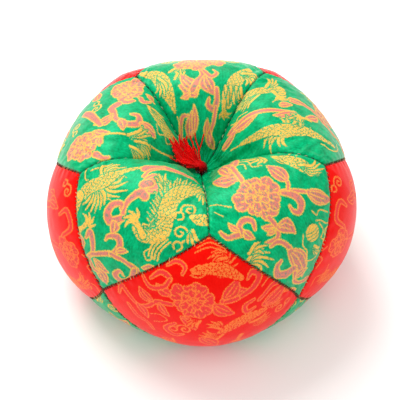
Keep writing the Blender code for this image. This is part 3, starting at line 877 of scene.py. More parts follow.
def back_petal(loom):
    scaled_ribbon(loom, (20, -37, 1.6), (15, -34.6, 2.6), (12.6, -29, 2.6), (10.4, -23.4, 1.4),
                  (9.4, -19.6, 0.5))
    plume(loom, 14.8, -34, 9, 108, 4, 34, -10)
    plume(loom, 11, -36, 8, 200, 5, 60, 24)
    plume(loom, 9, -32, 5.5, 215, 4, 70, 20)
    peony(loom, 3, -41.5, 6.4, 20)
    peony(loom, -3.5, -44, 5.6, 0)
    leaf(loom, (1.2, -24.6), (7.6, -29), 5.4, -0.12, 2)
    leaf(loom, (0.4, -27), (7, -34), 4.2, 0.1, 2)
    leaf(loom, (3.6, -25.6), (7, -24.4), 2.2, 0.1)
    stem(loom, (0, -36, 0.8), (-0.6, -32.6, 0.9), (1.4, -29.6, 1.2), (2.8, -26.8, 1.2))
    leaf(loom, (-1.4, -32.8), (-5, -25.2), 5.0, -0.12, 2)
    stem(loom, (-0.8, -35.8, 0.7), (-3.4, -32.4, 0.9), (-5.6, -34.4, 0.6), (-4.4, -36.4, 0.3))
    stem(loom, (-5.4, -27.6, 0.8), (-5.6, -23.4, 1.0), (-4.4, -20.6, 1.1), (-2.4, -21.6, 0.8),
         (-2.8, -24, 0.4))
    stem(loom, (-5.2, -21, 0.7), (-4.4, -16, 0.7), (-3.4, -12.4, 0.7))
    leaf(loom, (4, -10.4), (3, -20), 4.0, 0.0, 2)
    leaf(loom, (2.6, -12), (2.4, -22), 2.2, -0.04)
    leaf(loom, (-1.8, -11), (-2.2, -17.2), 2.0, 0.0)
    leaf(loom, (-4.6, -6.4), (-3, -14), 2.8, 0.1)
    stem(loom, (4.6, -18.4, 0.5), (6.6, -17.8, 0.8), (7.4, -14, 0.7), (7.2, -9, 0.5))
    line(loom, (8.6, -18), (7.6, -14), (8.2, -9))
    scaled_ribbon(loom, (-17, -38, 1.4), (-13.4, -34, 2.4), (-11, -28, 2.4), (-9.6, -22, 1.2))
    for x, reach in ((-8.6, 8), (-10.4, 9), (-12.4, 8), (-14, 6)):
        plume(loom, x, -29, reach, 90, 2, 20, 6)
    claw(loom, -8.4, -19.5, 2.8, 100)
    plume(loom, -14.6, -36, 8, 150, 5, 60, -20)
    cloud(loom, 12, -46, 3.4, 10)
    cloud(loom, -12, -46, 3.4, 170, -1)
    stem(loom, (-6, -50, 0.9), (-2, -54, 1.0), (4, -53, 1.0), (8, -56, 0.9), (6, -59, 0.6))
    leaf(loom, (2, -54), (0, -64), 5, 0.1, 2)
    leaf(loom, (-3, -55), (-9, -60), 4, -0.1)
    plume(loom, 6, -62, 9, 250, 5, 60, 14)
    claw(loom, -8, -66, 3.2, 250)


def right_petal(loom):
    scaled_ribbon(loom, (15.5, -24, 0.8), (13.6, -29, 1.6), (12.6, -34, 2.0), (11.4, -38.4, 2.2),
                  (8.6, -38.4, 1.6))
    claw(loom, 7.4, -37, 2.8, 195)
    line(loom, (4.6, -33.6), (6, -36), (5, -38.6), (6.6, -40.6))
    plume(loom, 13.4, -27, 8, 118, 4, 40, -14)
    plume(loom, 11, -31, 9.5, 100, 4, 30, 10)
    plume(loom, 14.4, -35, 7, -70, 4, 50, 16)
    leaf(loom, (1.6, -27.4), (4.8, -13.6), 5.0, 0.06, 3)
    stem(loom, (3.2, -18, 0.7), (3.0, -24, 1.0), (1.6, -29, 0.9), (0, -34, 0.8), (-1.4, -39.4, 0.6))
    leaf(loom, (-1.2, -39), (-1.6, -31.4), 2.8, 0.1)
    leaf(loom, (2.2, -35), (2.6, -40), 2.6, 0.1)
    leaf(loom, (0.6, -10), (1.4, -18.6), 3.6, 0.06, 2)
    line(loom, (5.4, -24.6), (6.6, -21), (5.2, -19), (7, -16.4))
    for angle, reach in ((98, 12), (80, 9), (60, 7), (-95, 13), (-75, 12), (-55, 9), (-35, 7), (140, 8)):
        plume(loom, -8.4, -32.4, reach, angle, 2, 22, 16)
    scaled_ribbon(loom, (-4, -17.6, 0.6), (-5.6, -23, 1.2), (-6.4, -28, 1.8), (-8, -33, 2.3),
                  (-9.6, -39, 2.0),
                  (-12.6, -45, 1.2), (-14.6, -50, 0.7))
    line(loom, (-7.6, -31.6), (-9, -33), (-8, -35.2), (-6.2, -33.6), (-7.2, -30.4), (-10, -31),
         (-10.6, -34.6), (-8, -37.4))
    line(loom, (-4.2, -17.4), (-2.4, -12.6))
    plume(loom, -4.4, -41, 5.5, 90, 4, 90, 10)
    claw(loom, -3.8, -40.6, 2.4, 80)
    leaf(loom, (4, -45.4), (4.4, -39.6), 3.4, -0.1)
    leaf(loom, (-2, -48.6), (-3.4, -42.6), 3.4, 0.1)
    stem(loom, (6, -41, 0.8), (4, -45, 1.0), (1, -49, 1.0), (-3, -51, 1.0), (-8, -55, 0.8), (-8, -60, 0.7))
    peony(loom, 3, -56, 6.6, 15)
    leaf(loom, (-8, -58), (-13, -62), 4.4, 0.1, 2)
    plume(loom, 12, -49, 8, 250, 5, 60, 14)
    leaf(loom, (0, -62), (-4, -72), 5, -0.1, 2)
    line(loom, (-15, -44), (-17, -48), (-15.6, -52), (-12.6, -53))


def front_side(loom):
    peony(loom, -5.5, 11.5, 7.4, 5)
    leaf(loom, (-12, 12.6), (-17, 15.6), 3.6, 0.1)
    leaf(loom, (1, 10.4), (7.6, 5.4), 4.6, -0.1, 2)
    leaf(loom, (3, 11), (13.6, 12.6), 5.2, 0.12, 2)
    leaf(loom, (4, 12), (9, 18.6), 4.6, -0.1, 2)
    stem(loom, (10, 12, 0.9), (14, 14, 1.1), (16.4, 17.4, 1.1), (13.8, 19.6, 0.9), (12.2, 17.6, 0.5))
    stem(loom, (-12, 9, 0.8), (-17, 8.4, 0.9), (-20, 5, 0.8), (-24, 4, 0.7), (-29.6, 8.6, 0.9),
         (-30.6, 4.6, 0.4))
    leaf(loom, (-18, 8), (-23, 12), 3.8, 0.14, 2)
    stem(loom, (-19, 17, 0.5), (-15.6, 20, 0.9), (-12.6, 18.4, 0.9), (-14.2, 15.8, 0.4))
    plume(loom, 1.4, 24, 8, -20, 6, 100, 24)
    plume(loom, 5.4, 25.6, 6, 150, 5, 80, 30)
    scaled_ribbon(loom, (-5, 21.4, 0.8), (0, 22.6, 1.8), (5, 21.6, 2.0), (10, 18.4, 0.9))
    for row in range(5):
        line(loom, (-4.6 + row * 0.8, 27.4 + row * 1.5), (0, 29 + row * 1.4),
             (5.4 - row * 0.9, 27.2 + row * 1.5))
    stem(loom, (-13.6, 22.6, 0.4), (-10.6, 24.4, 0.7), (-7.8, 23, 0.7), (-8.6, 20.4, 0.4))
    scaled_ribbon(loom, (3, -4, 1.2), (7, -0.6, 2.2), (12, 1.2, 2.4), (18, 2, 1.2))
    plume(loom, 4, -5, 8, 195, 6, 70, -14)
    plume(loom, 13, -2, 8, -25, 6, 60, 14)
    plume(loom, 3.4, -1.4, 6, 120, 4, 60, 14)
    scaled_ribbon(loom, (20, 6.4, 1.0), (25, 6.6, 1.8), (30, 3.6, 1.0))
    plume(loom, 19, 4, 7, 320, 4, 40, 14)
    leaf(loom, (-9, 4.8), (-4.6, -1.6), 3.6, 0.1, 2)
    leaf(loom, (-16, 8.4), (-12.6, 3.4), 2.8, -0.1)
    stem(loom, (-11, 0.4, 0.6), (-14, -3.4, 0.9), (-11.4, -6.4, 0.9), (-8.4, -4.8, 0.4))
    stem(loom, (-27, 1.6, 0.6), (-24, -2.6, 0.8), (-20.4, -4, 0.7), (-18.4, -7.4, 0.5))
    line(loom, (-19, 1.6), (-16, 3), (-13.4, 1.2), (-15.6, -0.8), (-18, -2))
    stem(loom, (-22, 16.6, 0.5), (-19, 13.6, 0.8), (-14.6, 15, 0.8), (-12.6, 18, 0.7))
    stem(loom, (14, 9, 0.6), (11, 7.6, 0.8), (11.6, 4.6, 0.8), (14.4, 5.4, 0.4))
    line(loom, (17, 13), (20, 15), (23, 13.6), (26, 14.6))
    line(loom, (-6, 22), (-3, 23.6), (-1, 21.4), (-3.4, 19.8), (-6, 20.4))
    leaf(loom, (-24, 4.4), (-20, -1.4), 3.2, 0.1)
    plume(loom, -3, 3.4, 5.5, 215, 4, 60, 12)
    leaf(loom, (17, 4.6), (27, 8.6), 5.8, -0.08, 3)
    stem(loom, (16, 8, 0.7), (21, 11.4, 0.9), (25, 10.6, 0.7))
    cloud(loom, -8, -2, 3.4, 20)
    cloud(loom, 24, -2, 3.2, 200)
    leaf(loom, (-3, -6), (2, -14), 5, 0.1, 2)
    plume(loom, -12, -10, 8, 250, 5, 60, 14)
    claw(loom, 9, -12, 3, 260)
    stem(loom, (-6, -18, 0.8), (-2, -21, 1.0), (3, -20, 1.0), (5, -24, 0.7))


def other_side(loom, flip):
    peony(loom, 9 * flip, -5, 7.0, 20)
    peony(loom, -14 * flip, 8, 5.8, 0)
    stem(loom, (3 * flip, -3, 0.8), (-2 * flip, 1, 0.9), (-8 * flip, 5, 0.9))
    stem(loom, (9 * flip, 1, 0.8), (8 * flip, 8, 1.0), (3 * flip, 14, 1.1), (4 * flip, 18, 0.9),
         (7 * flip, 16, 0.4))
    leaf(loom, (8 * flip, 7), (15 * flip, 12), 4.6, 0.1 * flip, 2)
    leaf(loom, (4 * flip, 14), (-3 * flip, 18), 4.2, 0.1, 2)
    leaf(loom, (-2 * flip, 0), (-6 * flip, -8), 4.4, 0.1, 2)
    scaled_ribbon(loom, (-24 * flip, -2, 1.0), (-18 * flip, -6, 2.2), (-11 * flip, -10, 2.4),
                  (-5 * flip, -16, 1.4))
    plume(loom, -18 * flip, -4, 8, 90 + 60 * flip, 5, 60, 16)
    claw(loom, -4 * flip, -18, 3.0, -70)
    plume(loom, 17 * flip, 4, 8, 90 - 60 * flip, 5, 60, -16)
    cloud(loom, 20 * flip, -6, 3.4, 90)
    cloud(loom, -2 * flip, 25, 3.2, 0)
    cloud(loom, 2 * flip, -26, 3.2, 180)
    leaf(loom, (24 * flip, 1), (28 * flip, 4), 3.4, 0.1)
    stem(loom, (-10 * flip, 12, 0.6), (-12 * flip, 18, 0.9), (-7 * flip, 21, 0.9), (-5 * flip, 17, 0.4))
    stem(loom, (14 * flip, -10, 0.6), (12 * flip, -17, 0.9), (6 * flip, -22, 0.9), (1 * flip, -19, 0.8),
         (3 * flip, -15, 0.4))
    leaf(loom, (11 * flip, -17), (18 * flip, -15), 3.6, 0.1, 2)
    line(loom, (16 * flip, 10), (19 * flip, 7), (22 * flip, 9), (25 * flip, 6))
    line(loom, (-20 * flip, 3), (-22 * flip, 0), (-26 * flip, 1), (-28 * flip, -2))
    line(loom, (-26 * flip, 6), (-23 * flip, 8), (-24 * flip, 11), (-20 * flip, 12))


def base_panel(loom, flip):
    peony(loom, 2 * flip, -40, 6.6, 10)
    scaled_ribbon(loom, (-14 * flip, -36, 1.2), (-10 * flip, -30, 2.2), (-4 * flip, -27, 2.2),
                  (3 * flip, -28, 1.2))
    plume(loom, -12 * flip, -34, 8, 250, 5, 60, 16)
    plume(loom, 8 * flip, -30, 8, 300, 5, 60, 16)
    stem(loom, (2 * flip, -46, 0.8), (0, -51, 0.9), (3 * flip, -56, 1.0), (1 * flip, -60, 0.8))
    leaf(loom, (0, -51), (-7 * flip, -54), 4.2, 0.1, 2)
    leaf(loom, (3 * flip, -55), (8 * flip, -60), 4.2, -0.1, 2)
    cloud(loom, 13 * flip, -44, 3.4, 60)
    cloud(loom, -13 * flip, -46, 3.4, 120)
    plume(loom, -4 * flip, -64, 7, 250, 5, 60, 16)
    cloud(loom, 3 * flip, -66, 3.0, 0)
    leaf(loom, (0, -20), (4 * flip, -12), 3.4, 0.1)
    line(loom, (-7 * flip, -22), (-4 * flip, -19), (-5 * flip, -15), (-2 * flip, -12))


TOP_PATTERNS = (front_right_petal, right_petal, back_petal, upper_left_petal, front_left_petal)


def woven(kind, k, places):
    """The pattern of one panel at places on its flat cut."""
    loom = Loom(places)
    if kind == "top":
        TOP_PATTERNS[k](loom)
    elif kind == "side" and k == 0:
        front_side(loom)
    elif kind == "side":
        other_side(loom, 1 if k % 2 else -1)
    else:
        base_panel(loom, 1 if k % 2 else -1)
    return loom


# ---- Brocade panels ----
# Silk-look satin brocade about half a millimetre thick: a shiny warp-faced ground with a raised pattern in
# pink and gold weft, green over the top and underneath, red round the side, turned in at each seam.

GATHER_HEIGHT = 0.21 * MM  # folds that the tie pulls in round the dimples
GATHER_REACH = 17 * MM
GATHER_START = 6 * MM  # from the axis, where they reach their full height
GATHER_FOLDS = ((17, 0.6, 1), (26, 2.1, 0.7), (41, 4.0, 0.5))  # how many in a turn, phase, share of height
RIPPLE = 0.1 * MM  # the cloth drawn in at each few stitches
RIPPLE_LENGTH = 3.4 * MM
RIPPLE_DRIFT = 9 * MM  # how soon its spacing changes
RIPPLE_REACH = 2.5 * MM  # from the seam
SEAM_LINES = (0.0012, 0.0028, 0.005, 0.008, 0.012)  # extra grid lines where the cloth turns into a seam
LINING_DEPTH = CLOTH_THICKNESS + 0.35 * MM  # under the face's folds
CUT_SCALE = 0.01  # one unit of the flat cut's map is 100 mm


def gathers(points, turn):
    """Height of the folds that run into a dimple, the same on both sides of a seam."""
    radius = np.hypot(points[..., 0], points[..., 1])
    folds = sum(share * np.sin(count * turn + phase) for count, phase, share in GATHER_FOLDS)
    near = np.exp(-(radius / GATHER_REACH) ** 3) * np.clip(radius / GATHER_START, 0, 1)
    return GATHER_HEIGHT * folds * near


def panel_mesh(name, kind, k, swell, cut):
    """A closed shell: the patterned face, a wall round its edge, and a plain lining."""
    cells = FINE_CELLS[kind]
    steps = np.linspace(SEAM_GAP_SHARE, 1 - SEAM_GAP_SHARE, cells + 1)
    turns = [(SEAM_GAP_SHARE + share, 1 - SEAM_GAP_SHARE - share) for share in SEAM_LINES]
    steps = np.unique(np.concatenate([steps, *turns]))
    count = len(steps)
    u, v = np.meshgrid(steps, steps, indexing="ij")
    toward, points, normal = cover_points(kind, k, u, v, SLACK_PUFF)
    points = points + resampled(swell, steps)
    flat = resampled(cut, steps)
    length = np.linalg.norm(cut[0, 0] - cut[-1, 0]) * MM
    edge = np.minimum(np.minimum(u, 1 - u), np.minimum(v, 1 - v)) * length
    along = np.where(np.minimum(u, 1 - u) < np.minimum(v, 1 - v), v, u) * length
    turn = np.arctan2(toward[..., 1], toward[..., 0])
    ripple = RIPPLE * np.sin(2 * np.pi * along / RIPPLE_LENGTH + 2 * np.sin(along / RIPPLE_DRIFT))
    rise = gathers(points, turn) + ripple * np.exp(-edge / RIPPLE_REACH)
    turned_in = SEAM_DEPTH * np.exp(-(edge / EDGE_ROLL) ** 1.5)
    face = points + normal * (rise - turned_in)[..., None]
    face[..., 2] = np.maximum(face[..., 2], -MIDDLE_HEIGHT)
    picks = np.unique(np.round(np.linspace(0, count - 1, LINING_CELLS + 1)).astype(int))
    depth = np.full(edge.shape, LINING_DEPTH) + turned_in
    back = (points - normal * depth[..., None])[np.ix_(picks, picks)]
    back[..., 2] = np.maximum(back[..., 2], -MIDDLE_HEIGHT + CLOTH_THICKNESS)
    faces = quads(count - 1, count - 1).tolist()
    start = count * count
    inner = quads(LINING_CELLS, LINING_CELLS, start)[:, ::-1].tolist()
    side = len(picks)
    for first, last in zip(range(side - 1), range(1, side)):
        span = range(picks[first], picks[last] + 1)
        for rim, ends in (
                ([i * count for i in span], (last * side, first * side)),
                ([i * count + count - 1 for i in reversed(span)],
                 (first * side + side - 1, last * side + side - 1)),
                ([*reversed(span)], (first, last)),
                ([(count - 1) * count + i for i in span],
                 ((side - 1) * side + last, (side - 1) * side + first))):
            faces.append([*rim, start + ends[0], start + ends[1]])
    mesh = bpy.data.meshes.new(name)
    everything = np.concatenate([face.reshape(-1, 3), back.reshape(-1, 3)])
    mesh.from_pydata(placed(everything).tolist(), [], faces + inner)
    loom = woven(kind, k, flat.reshape(-1, 2))
    spare = np.full(back.shape[0] * back.shape[1], FAR)
    for key, values in (("gold", loom.gold), ("pink", loom.pink)):
        mesh.attributes.new(key, "FLOAT", "POINT").data.foreach_set("value",
                                                                    np.concatenate([values, spare]))
    flat_map = np.concatenate([flat.reshape(-1, 2), flat[np.ix_(picks, picks)].reshape(-1, 2)]) * CUT_SCALE
    corners = np.empty(len(mesh.loops), int)
    mesh.loops.foreach_get("vertex_index", corners)
    mesh.uv_layers.new(name="cut").data.foreach_set("uv", flat_map[corners].ravel())
    mesh.shade_smooth()
    return mesh, flat


def brocade(name, ground, ground_shade, pink, pink_shade, gold, gold_shade, sheen, shine):
    """Satin brocade: the warp-faced ground has a soft sheen, the raised weft figures are duller and grainy.
    Its threads are 0.12 mm apart; they are drawn at 0.35 to 0.6 mm so that they show."""
    material, tree = new_material(name)
    cut = add_node(tree, "ShaderNodeUVMap", uv_map="cut")
    weft = add_node(tree, "ShaderNodeTexNoise", {"Vector": cut, "Scale": 260.0, "Detail": 1.0})
    shaken = add_node(tree, "ShaderNodeMath", {0: weft, 1: 0.8, 2: -0.4}, operation="MULTIPLY_ADD")
    shares = {}
    for key in ("gold", "pink"):
        distance = add_node(tree, "ShaderNodeAttribute", attribute_name=key).outputs["Fac"]
        edge = add_node(tree, "ShaderNodeMath", {0: distance, 1: shaken}, operation="ADD")
        shares[key] = add_node(tree, "ShaderNodeMapRange",
                               {"Value": edge, "From Min": 0.1, "From Max": -0.1})
    heart = add_node(tree, "ShaderNodeMapRange", {"Value": distance, "From Min": -0.35, "From Max": -0.8})
    streaks = add_node(tree, "ShaderNodeMapping", {"Vector": cut, "Scale": (1.0, 0.45, 1.0)})
    streak = add_node(tree, "ShaderNodeTexNoise", {"Vector": streaks, "Scale": 210.0, "Detail": 2.0})
    streak_share = add_node(tree, "ShaderNodeMapRange",
                            {"Value": streak, "From Min": 0.48, "From Max": 0.6})
    streaked = add_node(tree, "ShaderNodeMath", {0: heart, 1: streak_share}, operation="MULTIPLY")
    twill = add_node(tree, "ShaderNodeTexWave", {"Vector": cut, "Scale": 90.0, "Distortion": 9.0,
                                                 "Detail Scale": 5.0}, bands_direction="DIAGONAL")
    cloudy = add_node(tree, "ShaderNodeTexNoise", {"Vector": cut, "Scale": 30.0, "Detail": 4.0})
    warp = add_node(tree, "ShaderNodeMapping", {"Vector": cut, "Scale": (1.0, 0.5, 1.0)})
    threads = add_node(tree, "ShaderNodeTexNoise", {"Vector": warp, "Scale": 190.0, "Detail": 2.0})
    tone = add_node(tree, "ShaderNodeMath", {0: threads, 1: 1.1, 2: cloudy}, operation="MULTIPLY_ADD")
    light_share = add_node(tree, "ShaderNodeMapRange", {"Value": tone, "From Min": 0.75, "From Max": 1.35})
    float_gap = add_node(tree, "ShaderNodeTexNoise", {"Vector": cut, "Scale": 165.0, "Detail": 1.0})
    covered = add_node(tree, "ShaderNodeMapRange", {"Value": float_gap, "From Min": 0.66, "From Max": 0.58,
                                                    "To Min": 0.35})
    gold_share = add_node(tree, "ShaderNodeMath", {0: shares["gold"], 1: covered}, operation="MULTIPLY")
    base, filled, bright = (
        add_node(tree, "ShaderNodeMix", {0: share, 6: linear(shade), 7: linear(lit)}, data_type="RGBA")
        for share, shade, lit in ((light_share, ground_shade, ground), (streaked, pink, pink_shade),
                                  (twill.outputs[1], gold_shade, gold)))
    with_pink = add_node(tree, "ShaderNodeMix",
                         {0: shares["pink"], 6: base.outputs[2], 7: filled.outputs[2]},
                         data_type="RGBA")
    colour = add_node(tree, "ShaderNodeMix", {0: gold_share, 6: with_pink.outputs[2], 7: bright.outputs[2]},
                      data_type="RGBA")
    raised = add_node(tree, "ShaderNodeMath", {0: shares["gold"], 1: shares["pink"]}, operation="MAXIMUM")
    grain = add_node(tree, "ShaderNodeTexNoise", {"Vector": cut, "Scale": 330.0, "Detail": 2.0})
    height = add_node(tree, "ShaderNodeMath", {0: grain, 1: 0.5, 2: raised}, operation="MULTIPLY_ADD")
    bump = add_node(tree, "ShaderNodeBump", {"Height": height, "Strength": 0.6, "Distance": 0.12 * MM})
    dull = add_node(tree, "ShaderNodeMapRange", {"Value": raised, "To Min": 0.36, "To Max": 0.5})
    weave = add_node(tree, "ShaderNodeTangent", direction_type="UV_MAP", uv_map="cut")
    add_shader(tree, {"Base Color": colour.outputs[2], "Normal": bump, "Roughness": dull, "Tangent": weave,
                      "Anisotropic": 0.6, "Specular IOR Level": shine, "Specular Tint": linear(sheen)})
    return material


green = brocade("green_satin_brocade", "#00B876", "#00824C", "#DC7668", "#8E7E70", "#FFCB58", "#DE9C3C",
                sheen="#50FFC0", shine=0.4)
red = brocade("red_satin_brocade", "#F4140C", "#EA0C06", "#F03A3A", "#DC4034", "#FF8A40", "#F07030",
              sheen="#FF5040", shine=0.15)
PANEL_NAMES = {"top": ("green_top_petal", "top_petal"), "side": ("red_side_panel", "side_panel"),
               "base": ("green_base_petal", "base_petal")}

for (kind, k), swell, cut in zip(PANELS, swells, cuts):
    piece, node = PANEL_NAMES[kind]
    mesh, flat = panel_mesh(f"{piece}_{k + 1}", kind, k, swell, cut)
    mesh.materials.append(red if kind == "side" else green)
    item = add_object(mesh)
    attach(item, "cushion")
    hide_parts(f"{node}_{k + 1}")

# ---- Seam stitches ----
# Strong sewing thread in small hand stitches: slanted over the edge all round the red panels, and short
# running stitches, half sunk, down the seams between the green ones.

STITCH_RADIUS = 0.15 * MM
STITCH_DEPTH = 2.2  # thread radii that its ends go under the seam line
STITCH_CREST = 3.4  # and that its bow is drawn over it
STITCH_WOBBLE = 0.16  # radians, as a hand's stitches turn
STITCH_SIZES = (0.85, 1.12)
RIM_SPACING = 1.3 * MM
RIM_LENGTH = 1.35 * MM
RIM_SLANT = 62  # degrees from the seam
RADIAL_SPACING = 2.2 * MM
RADIAL_LENGTH = 1.1 * MM
RADIAL_SLANT = 12
RIM_RISE = 0.1 * MM  # of the seam line over the turned-in edges
SEAM_POINTS = 60
UNSTITCHED_RADIUS = 7 * MM  # about the tie, where the seams are gathered out of sight


def new_group(name, result, **inputs):
    """A Geometry Nodes tree with named inputs and one result; its input sockets are returned too."""
    tree = bpy.data.node_groups.new(name, "GeometryNodeTree")
    for key, kind in inputs.items():
        tree.interface.new_socket(key.replace("_", " "), in_out="INPUT", socket_type=f"NodeSocket{kind}")
    tree.interface.new_socket(result, in_out="OUTPUT", socket_type="NodeSocketGeometry")
    return tree, tree.nodes.new("NodeGroupInput").outputs


def finish_group(tree, geometry, thread):
    """Ends a tree in real, plain meshes of one material."""
    real = add_node(tree, "GeometryNodeRealizeInstances", {0: geometry})
    finished = add_node(tree, "GeometryNodeSetMaterial", {"Geometry": real, "Material": thread})
    add_node(tree, "NodeGroupOutput", {0: finished})
    return tree


def made(name, mesh, tree, values):
    """A plain mesh object from a node tree run on a mesh, its inputs set by name."""
    source = add_object(mesh)
    modifier = source.modifiers.new("nodes", "NODES")
    modifier.node_group = tree
    for socket in tree.interface.items_tree:
        if socket.in_out == "INPUT" and socket.name in values:
            modifier[socket.identifier] = values[socket.name]
    now = bpy.context.evaluated_depsgraph_get()
    solid = bpy.data.meshes.new_from_object(source.evaluated_get(now), depsgraph=now)
    bpy.data.objects.remove(source, do_unlink=True)
    bpy.data.meshes.remove(mesh)
    solid.name = name
    solid.shade_smooth()
    return add_object(solid)


def stitch_tree():
    """Sets one small bridge of thread after another along a seam line."""
    tree, given = new_group("hand_stitches", "Stitches", Seam="Geometry", Spacing="Float", Length="Float",
                            Slant="Float", Thread_Radius="Float", Thread="Material")
    line = add_node(tree, "GeometryNodeMeshToCurve", {"Mesh": given["Seam"]})
    spots = add_node(tree, "GeometryNodeCurveToPoints", {"Curve": line, "Length": given["Spacing"]},
                     mode="LENGTH")
    out = add_node(tree, "GeometryNodeInputNamedAttribute", {"Name": "outward"}, data_type="FLOAT_VECTOR")
    facing = add_node(tree, "FunctionNodeAxesToRotation", {"Primary Axis": out,
                                                           "Secondary Axis": spots.outputs["Tangent"]},
                      primary_axis="Z", secondary_axis="X")
    wobble = add_node(tree, "FunctionNodeRandomValue", {2: -STITCH_WOBBLE, 3: STITCH_WOBBLE, "Seed": 7},
                      data_type="FLOAT")
    slant = add_node(tree, "ShaderNodeMath", {0: given["Slant"], 1: wobble.outputs[1]}, operation="ADD")
    turned = add_node(tree, "ShaderNodeCombineXYZ", {"Z": slant})
    own = add_node(tree, "FunctionNodeEulerToRotation", {0: turned})
    both = add_node(tree, "FunctionNodeRotateRotation", {0: facing, 1: own},
                    rotation_space="LOCAL")
    half = add_node(tree, "ShaderNodeMath", {0: given["Length"], 1: 0.5}, operation="MULTIPLY")
    other_half = add_node(tree, "ShaderNodeMath", {0: given["Length"], 1: -0.5}, operation="MULTIPLY")
    sunk = add_node(tree, "ShaderNodeMath", {0: given["Thread Radius"], 1: -STITCH_DEPTH},
                    operation="MULTIPLY")
    crest = add_node(tree, "ShaderNodeMath", {0: given["Thread Radius"], 1: STITCH_CREST},
                     operation="MULTIPLY")
    start = add_node(tree, "ShaderNodeCombineXYZ", {"X": other_half, "Z": sunk})
    middle = add_node(tree, "ShaderNodeCombineXYZ", {"Z": crest})
    end = add_node(tree, "ShaderNodeCombineXYZ", {"X": half, "Z": sunk})
    bridge = add_node(tree, "GeometryNodeCurveQuadraticBezier", {"Resolution": 5, "Start": start,
                                                                "Middle": middle, "End": end})
    ring = add_node(tree, "GeometryNodeCurvePrimitiveCircle",
                    {"Resolution": 6, "Radius": given["Thread Radius"]})
    stitch = add_node(tree, "GeometryNodeCurveToMesh", {"Curve": bridge, "Profile Curve": ring,
                                                       "Fill Caps": True})
    size = add_node(tree, "FunctionNodeRandomValue", {2: STITCH_SIZES[0], 3: STITCH_SIZES[1], "Seed": 3},
                    data_type="FLOAT")
    placed_stitches = add_node(tree, "GeometryNodeInstanceOnPoints", {
        "Points": spots, "Instance": stitch, "Rotation": both, "Scale": size.outputs[1]})
    # A random value per stitch picks which stitches the thread paints pale as painted glints.
    glint_share = add_node(tree, "FunctionNodeRandomValue", {"Seed": 11}, data_type="FLOAT")
    shaded = add_node(tree, "GeometryNodeStoreNamedAttribute", {"Geometry": placed_stitches, "Name": "painted_glint",
                                                               "Value": glint_share.outputs[1]},
                      data_type="FLOAT", domain="INSTANCE")
    return finish_group(tree, shaded, given["Thread"])


def sewing_thread(name, dark, light, most_dark):
    """Waxed cotton thread: dark, with a random share of the stitches painted pale, a painted highlight that
    stands for glints on the thread.
    """
    material, tree = new_material(name)
    painted_glint = add_node(tree, "ShaderNodeAttribute", attribute_name="painted_glint").outputs["Fac"]
    glint_share = add_node(tree, "ShaderNodeMapRange", {"Value": painted_glint, "From Min": most_dark, "From Max": 1.0})
    place = add_node(tree, "ShaderNodeTexCoord").outputs["Object"]
    fibres = add_node(tree, "ShaderNodeTexNoise", {"Vector": place, "Scale": 4000.0})
    colour = add_node(tree, "ShaderNodeMix", {0: glint_share, 6: linear(dark), 7: linear(light)}, data_type="RGBA")
    bump = add_node(tree, "ShaderNodeBump", {"Height": fibres, "Distance": 0.05 * MM})
    add_shader(tree, {"Base Color": colour.outputs[2], "Normal": bump, "Roughness": 0.6})
    return material


def seam_course(first, second, rise):
    """Places and outward directions along the seam between two corners."""
    share = np.linspace(0, 1, SEAM_POINTS + 1)[:, None]
    toward = (1 - share) * first + share * second
    toward = toward / np.linalg.norm(toward, axis=-1, keepdims=True)
    if abs(first[2]) > 1 - 1e-9:
        toward[0, :2] = second[:2] / np.linalg.norm(second[:2]) * 1e-6
        toward = crowd_to_pole(toward)
    normal = outward(toward)
    points = surface(toward) + normal * (rise - SEAM_SINK)
    points[:, 2] = np.maximum(points[:, 2], -MIDDLE_HEIGHT + STITCH_RADIUS)
    return points, normal


def seam_mesh(name, courses):
    points = np.concatenate([course[0] for course in courses])
    normals = np.concatenate([course[1] for course in courses])
    edges = []
    start = 0
    for places, _ in courses:
        edges += [(start + i, start + i + 1) for i in range(len(places) - 1)]
        start += len(places)
    mesh = bpy.data.meshes.new(name)
    mesh.from_pydata(placed(points).tolist(), edges, [])
    mesh.attributes.new("outward", "FLOAT_VECTOR", "POINT").data.foreach_set("vector", normals.ravel())
    return mesh


stitches = stitch_tree()
# The light colours are painted highlights: glints painted on a random share of the stitches.
brown_thread = sewing_thread("waxed_cotton_thread", "#4A2E16", "#C8A070", 0.7)
green_thread = sewing_thread("green_waxed_thread", "#12402A", "#C8D8A8", 0.6)
sewn = []
for side, corner, pole in (("top", upper_corner, direction(0, 0)),
                           ("base", lower_corner, direction(180, 0))):
    for k in range(PETALS):
        points, normals = seam_course(pole, corner(k), -0.1 * MM)
        kept = np.hypot(points[:, 0], points[:, 1]) > UNSTITCHED_RADIUS
        sewn.append((f"{side}_seam_stitches_{k + 1}", f"{side}_seam_thread_{k + 1}",
                     [(points[kept], normals[kept])],
                     RADIAL_SPACING, RADIAL_LENGTH, RADIAL_SLANT))
for side, corner in (("upper", upper_corner), ("lower", lower_corner)):
    courses = [seam_course(ends[0], ends[1], RIM_RISE) for k in range(PETALS)
               for ends in ((corner(k), flank_corner(k)), (flank_corner(k), corner(k + 1)))]
    sewn.append((f"{side}_rim_stitches", f"{side}_rim_thread", courses, RIM_SPACING, RIM_LENGTH, RIM_SLANT))
for name, node, courses, spacing, length, slant in sewn:
    item = made(name, seam_mesh(name, courses), stitches, {
        "Spacing": spacing, "Length": length, "Slant": math.radians(slant), "Thread Radius": STITCH_RADIUS,
        "Thread": brown_thread if "rim" in name else green_thread})
    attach(item, "cushion")
    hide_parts(node)

# ---- Tie, knots and tassel ----
# A twisted cotton tie drawn down the middle and knotted underneath holds both dimples. On top it ends in
# a wound knot of red silk, from which a short tassel of loose red threads lies over against the dimple.

